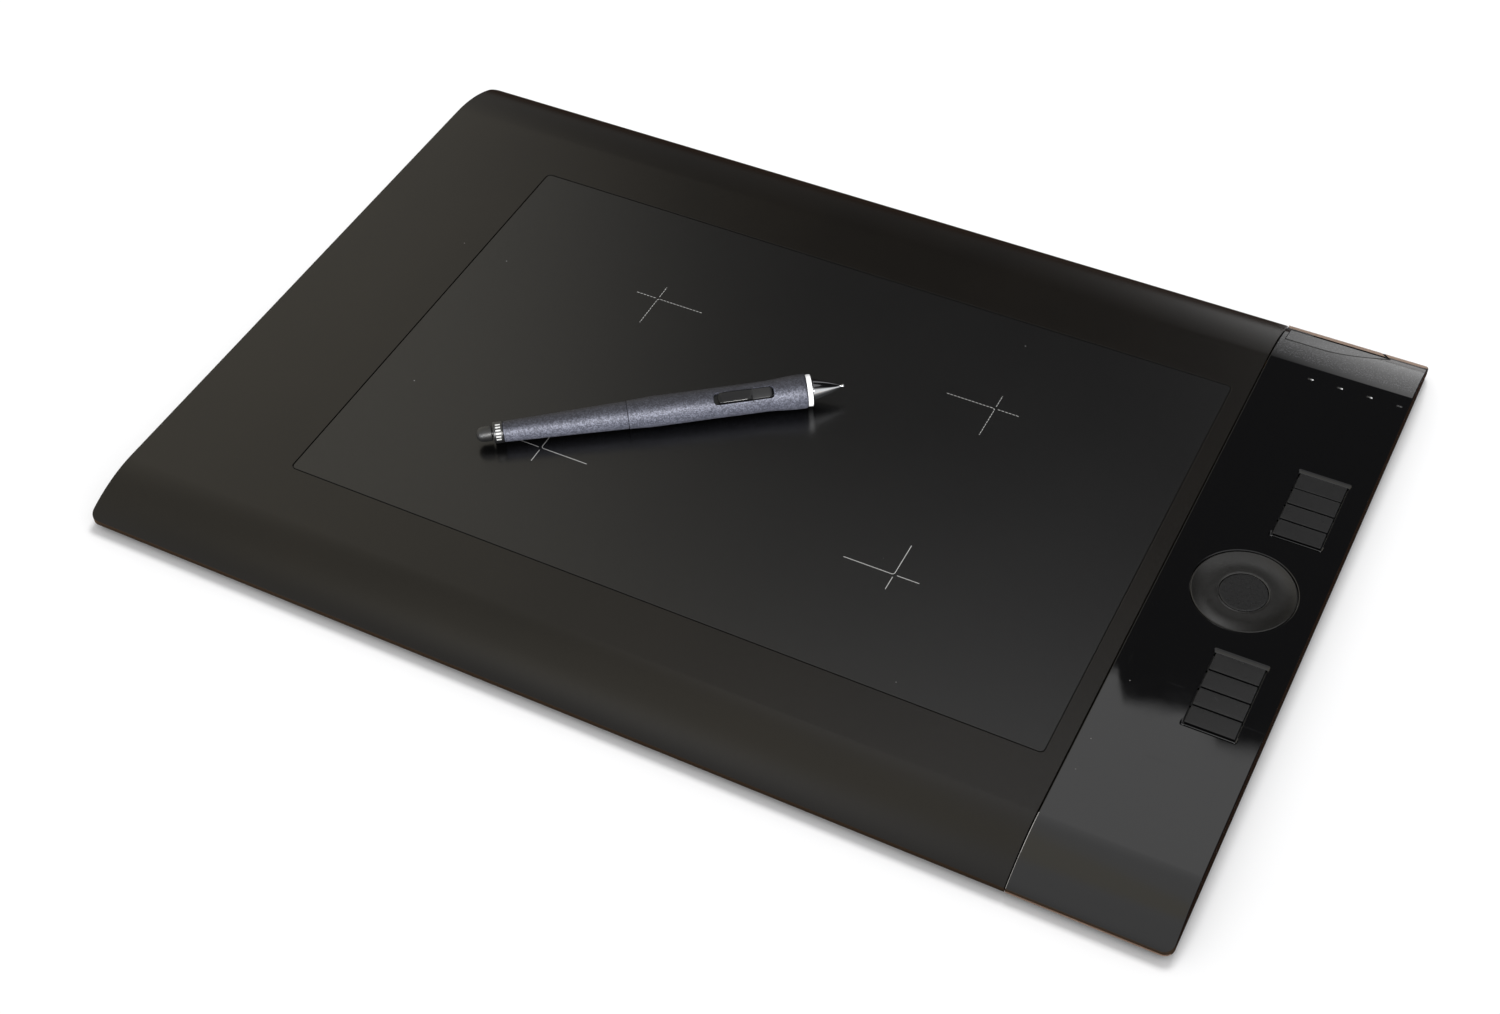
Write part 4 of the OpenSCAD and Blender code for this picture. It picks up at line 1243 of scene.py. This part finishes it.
# chromed nose: a slightly bulging cone
CONE_START, CONE_END = (142.95, 4.74), (153.4, 1.02)
profile = [(136, 4.57), (142.5, 4.57), (142.55, 4.74), (142.7, 4.80), CONE_START]
profile += [(CONE_START[0] + (CONE_END[0] - CONE_START[0]) * i / 14,
             CONE_START[1] + (CONE_END[1] - CONE_START[1]) * i / 14 + 0.22 * sin(pi * i / 14))
            for i in range(1, 15)]
profile += [(153.9, 0.90), (154.25, 0.80), (154.4, 0.68), (154.4, 0.51), (150, 0.51),
            (149, 1.4), (142, 3.8), (136, 3.8)]
pen_piece(lathe(profile, 144, PEN), "pen_nose", "nose_chrome", "pen_nose_cone")

# nib with a ball end
profile = [(119.7, 0), (119.7, 1.0), (147, 1.0), (148, 0.45), (154.95, 0.45)]
angles = [rad(140 - 140 * i / 12) for i in range(13)]
profile += [(155.7 + 0.75 * cos(a), 0.75 * sin(a)) for a in angles]
pen_piece(lathe(profile, 64, PEN), "pen_nib", "tip_steel", "pen_tip", body="pen_tip")

# ------------------------------------------------------------------ CAD nodes that stay
CAD_FINISH = {                        # node: (material, bevel width in metres or None)
    "bottom_case": ("base_matte", 0.00018),
    "ring_sensor": ("board_green", None),
    "key_board": ("board_green", 0.0001),
    "key_domes": ("dome_steel", None),
    "label_displays": ("display_black", 0.00012),
    "main_board": ("board_green", 0.0001),
    "usb_socket": ("plated_steel", 0.0001),
    "flat_cables": ("flex_amber", None),
    "sensor_board": ("board_green", 0.00012),
    "shield_plate": ("plated_steel", 0.0001),
    "rubber_feet": ("foot_rubber", 0.00025),
    "case_screws": ("plated_steel", 0.00012),
    "board_screws": ("plated_steel", 0.0001),
    "pen_coil": ("copper_coil", None),
    "pen_board": ("board_black", 0.00008),
    "pen_pressure_sensor": ("plated_steel", None),
}
for node, (mat, bevel_width) in CAD_FINISH.items():
    obj = frame["nodes"][node]
    obj.data.materials.clear()
    obj.data.materials.append(MAT[mat])
    weld = obj.modifiers.new("weld", "WELD")
    weld.merge_threshold = 0.000002
    if bevel_width:
        bevel = obj.modifiers.new("edges", "BEVEL")
        bevel.width, bevel.segments = bevel_width, 2
        bevel.limit_method, bevel.angle_limit = "ANGLE", rad(40)

# ------------------------------------------------------------------ floor
ground = Build()
ground.face(ground.ring([(x, y, -0.03) for x, y in
                         ((-6000, -6000), (6000, -6000), (6000, 6000), (-6000, 6000))]))
floor = ground.make(name="floor")
floor.data.transform(Matrix.Scale(0.001, 4))


def floor_pale():
    """Pale paper; reflections see it warm in front, dark elsewhere and pale by the port."""
    mat = Material("floor_pale")
    paper = mat.mix(mat.noise(scale=9, detail=3, rough=0.55),
                    low=(0.86, 0.86, 0.862), high=(0.89, 0.89, 0.89))
    x, y, _ = mat.split(mat.add("NewGeometry", output="Position"))
    seen = mat.mix(y.remap(span=(-0.170, -0.150)),
                   low=(0.78, 0.52, 0.34), high=(0.045, 0.026, 0.018))
    by_port = (x.remap(span=(0.165, 0.180)) * x.remap(span=(0.236, 0.230))
               * y.remap(span=(0.150, 0.158)))
    seen = mat.mix(by_port, low=seen, high=(0.9, 0.88, 0.88))
    glossy_ray = mat.add("LightPath", output="Is Glossy Ray")
    mat.surface(color=mat.mix(glossy_ray, low=paper, high=seen), rough=0.9, spec=0.0)


floor_pale()
floor.data.materials.append(MAT["floor_pale"])
floor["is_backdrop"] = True

# ------------------------------------------------------------------ world
# brightness of each part of the studio
ROUND, WALL, WINDOW, CARD = 0.85, 0.055, 1.0, 2.0
CEILING, CEILING_LEFT, CEILING_HIGH = 1.42, 0.6, 1.04
WARM_TINT = (1.03, 0.975, 0.84)       # red, green, blue of the light from the left


def over(base, factor, value):
    """value laid over base by factor."""
    return base * (1.0 - factor) + factor * value


def build_world():
    """Open studio all round, a dark wall behind, a bright ceiling whose lower edge shows in
    the glossy strip, a bright window on the left and a low card nearly straight behind.
    azimuth is 0 at the back and grows to the right; both angles are in degrees."""
    world = bpy.data.worlds.new("studio")
    scene.world = world
    world.use_nodes = True
    sky = Nodes(world.node_tree, "Generated")
    x, y, z = sky.split()
    elevation = sky.math("ARCSINE", z) * (180 / pi)
    azimuth = sky.math("ARCTAN2", x, y) * (180 / pi)

    # lower edge of the ceiling, with two small steps up towards the right
    edge = 51.65 + azimuth.remap(span=(-14.8, -14.2), to=(0, 0.75))
    edge = edge + azimuth.remap(span=(-10.6, -10.1), to=(0, 0.62))
    above = elevation - edge

    wall = over(WALL, elevation.remap(span=(42, 24)),
                azimuth.remap(span=(-18, -36), to=(0.09, 0.28)))
    behind = azimuth.remap(span=(-44, -30)) * azimuth.remap(span=(92, 76))
    light = over(ROUND, behind, wall)
    window = azimuth.remap(span=(-29, -43)) * azimuth.remap(span=(-125, -95)) * 1.0
    light = over(light, window, WINDOW)
    card = ((azimuth.remap(span=(-12.5, -3.0)) * azimuth.remap(span=(2, -2)))
            * (elevation.remap(span=(-14, -2)) * elevation.remap(span=(41.9, 41.3))))
    light = over(light, card, CARD)
    overhead = y.remap(span=(0.05, -0.25),
                       to=(CEILING_HIGH, x.remap(span=(-0.18, -0.40), to=(0.98, 2.1))))
    ceiling = over(over(CEILING_LEFT, azimuth.remap(span=(-44, -33)), CEILING),
                   elevation.remap(span=(55, 68)), overhead)
    light = over(light, above.remap(span=(-0.22, 0.22)), ceiling)

    warm = azimuth.remap(span=(-20, -45)) * azimuth.remap(span=(-140, -100))
    tinted = sky.add("CombineColor", {i: light * over(1.0, warm, tint)
                                      for i, tint in enumerate(WARM_TINT)})
    # even light on matte surfaces, plain white to the camera
    diffuse_ray = sky.add("LightPath", output="Is Diffuse Ray")
    even = sky.mix(diffuse_ray, low=tinted, high=(0.78, 0.78, 0.785))
    col = sky.mix(diffuse_ray.out("Is Camera Ray"), low=even, high=(1.0, 1.0, 1.0))
    sky.new("OutputWorld", {"Surface": sky.add("Background", {"Color": col})})


build_world()


# ------------------------------------------------------------------ lights
def area(name, place, target, size, size_y, power, receivers, color=(1, 1, 1)):
    data = bpy.data.lights.new(name, "AREA")
    data.energy, data.color = power, color
    data.shape = "RECTANGLE"
    data.size, data.size_y = size, size_y
    obj = bpy.data.objects.new(name, data)
    obj.location = place
    obj.rotation_mode = "QUATERNION"
    obj.rotation_quaternion = (Vector(target) - Vector(place)).to_track_quat("-Z", "Y")
    scene.collection.objects.link(obj)
    obj.light_linking.receiver_collection = receivers
    return obj


def link_light(group, name, state):
    group.objects.link(bpy.data.objects[name])
    group.collection_objects[-1].light_linking.link_state = state


# soft key from above and behind that skips the bright parts of the pen; three front lights
# for the pen alone, so the flat gloss stays free of glare
SKIPPED = ("pen_grip_barrel", "pen_nose", "pen_tail_barrel", "pen_white_ring")
not_pen = bpy.data.collections.new("key_light")
only_pen = bpy.data.collections.new("pen_light")
for name in sorted(SKIPPED + ("pen_band", "pen_band_ticks", "pen_eraser_tip", "pen_rocker",
                              "pen_nib")):
    link_light(only_pen, name, "INCLUDE")
    if name in SKIPPED:
        link_light(not_pen, name, "EXCLUDE")
key_light = area("key", place=(-0.12, 1.3, 2.3), target=(0, 0, 0), size=0.9, size_y=0.9,
                 power=37, receivers=not_pen)
key_light.visible_glossy = False
PEN_TARGET = (-0.04, 0, 0.02)
area("pen_window", place=(1.45, -1.95, 1.5), target=PEN_TARGET, size=0.6, size_y=0.45,
     power=80, receivers=only_pen, color=(1.0, 0.99, 0.98))
area("pen_fill", place=(0.5, -2.5, 0.75), target=PEN_TARGET, size=1.7, size_y=0.9,
     power=30, receivers=only_pen, color=(0.96, 0.98, 1.0))
area("pen_low", place=(-0.35, -1.6, 0.42), target=PEN_TARGET, size=1.2, size_y=0.5,
     power=22, receivers=only_pen, color=(0.93, 0.96, 1.0))

# ------------------------------------------------------------------ camera
# in front of the tablet to the right, looking down and back to the left
camera_data = bpy.data.cameras.new("camera")
camera_data.sensor_width, camera_data.lens = 36.0, 52.4592144
camera_data.clip_start, camera_data.clip_end = 0.01, 50
camera = bpy.data.objects.new("camera", camera_data)
scene.collection.objects.link(camera)
view_right = Vector((0.88808763, 0.45809448, -0.0380765))
view_down = Vector((0.3171621, -0.67060739, -0.67059222))
view_forward = Vector((-0.33272897, 0.58346823, -0.74084833))
pose = Matrix((view_right, -view_down, -view_forward)).transposed().to_4x4()
pose.translation = Vector((0.30943916, -0.56235594, 0.67287594))
camera.matrix_world = pose
scene.camera = camera
scene.view_settings.view_transform = "Standard"

low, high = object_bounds()
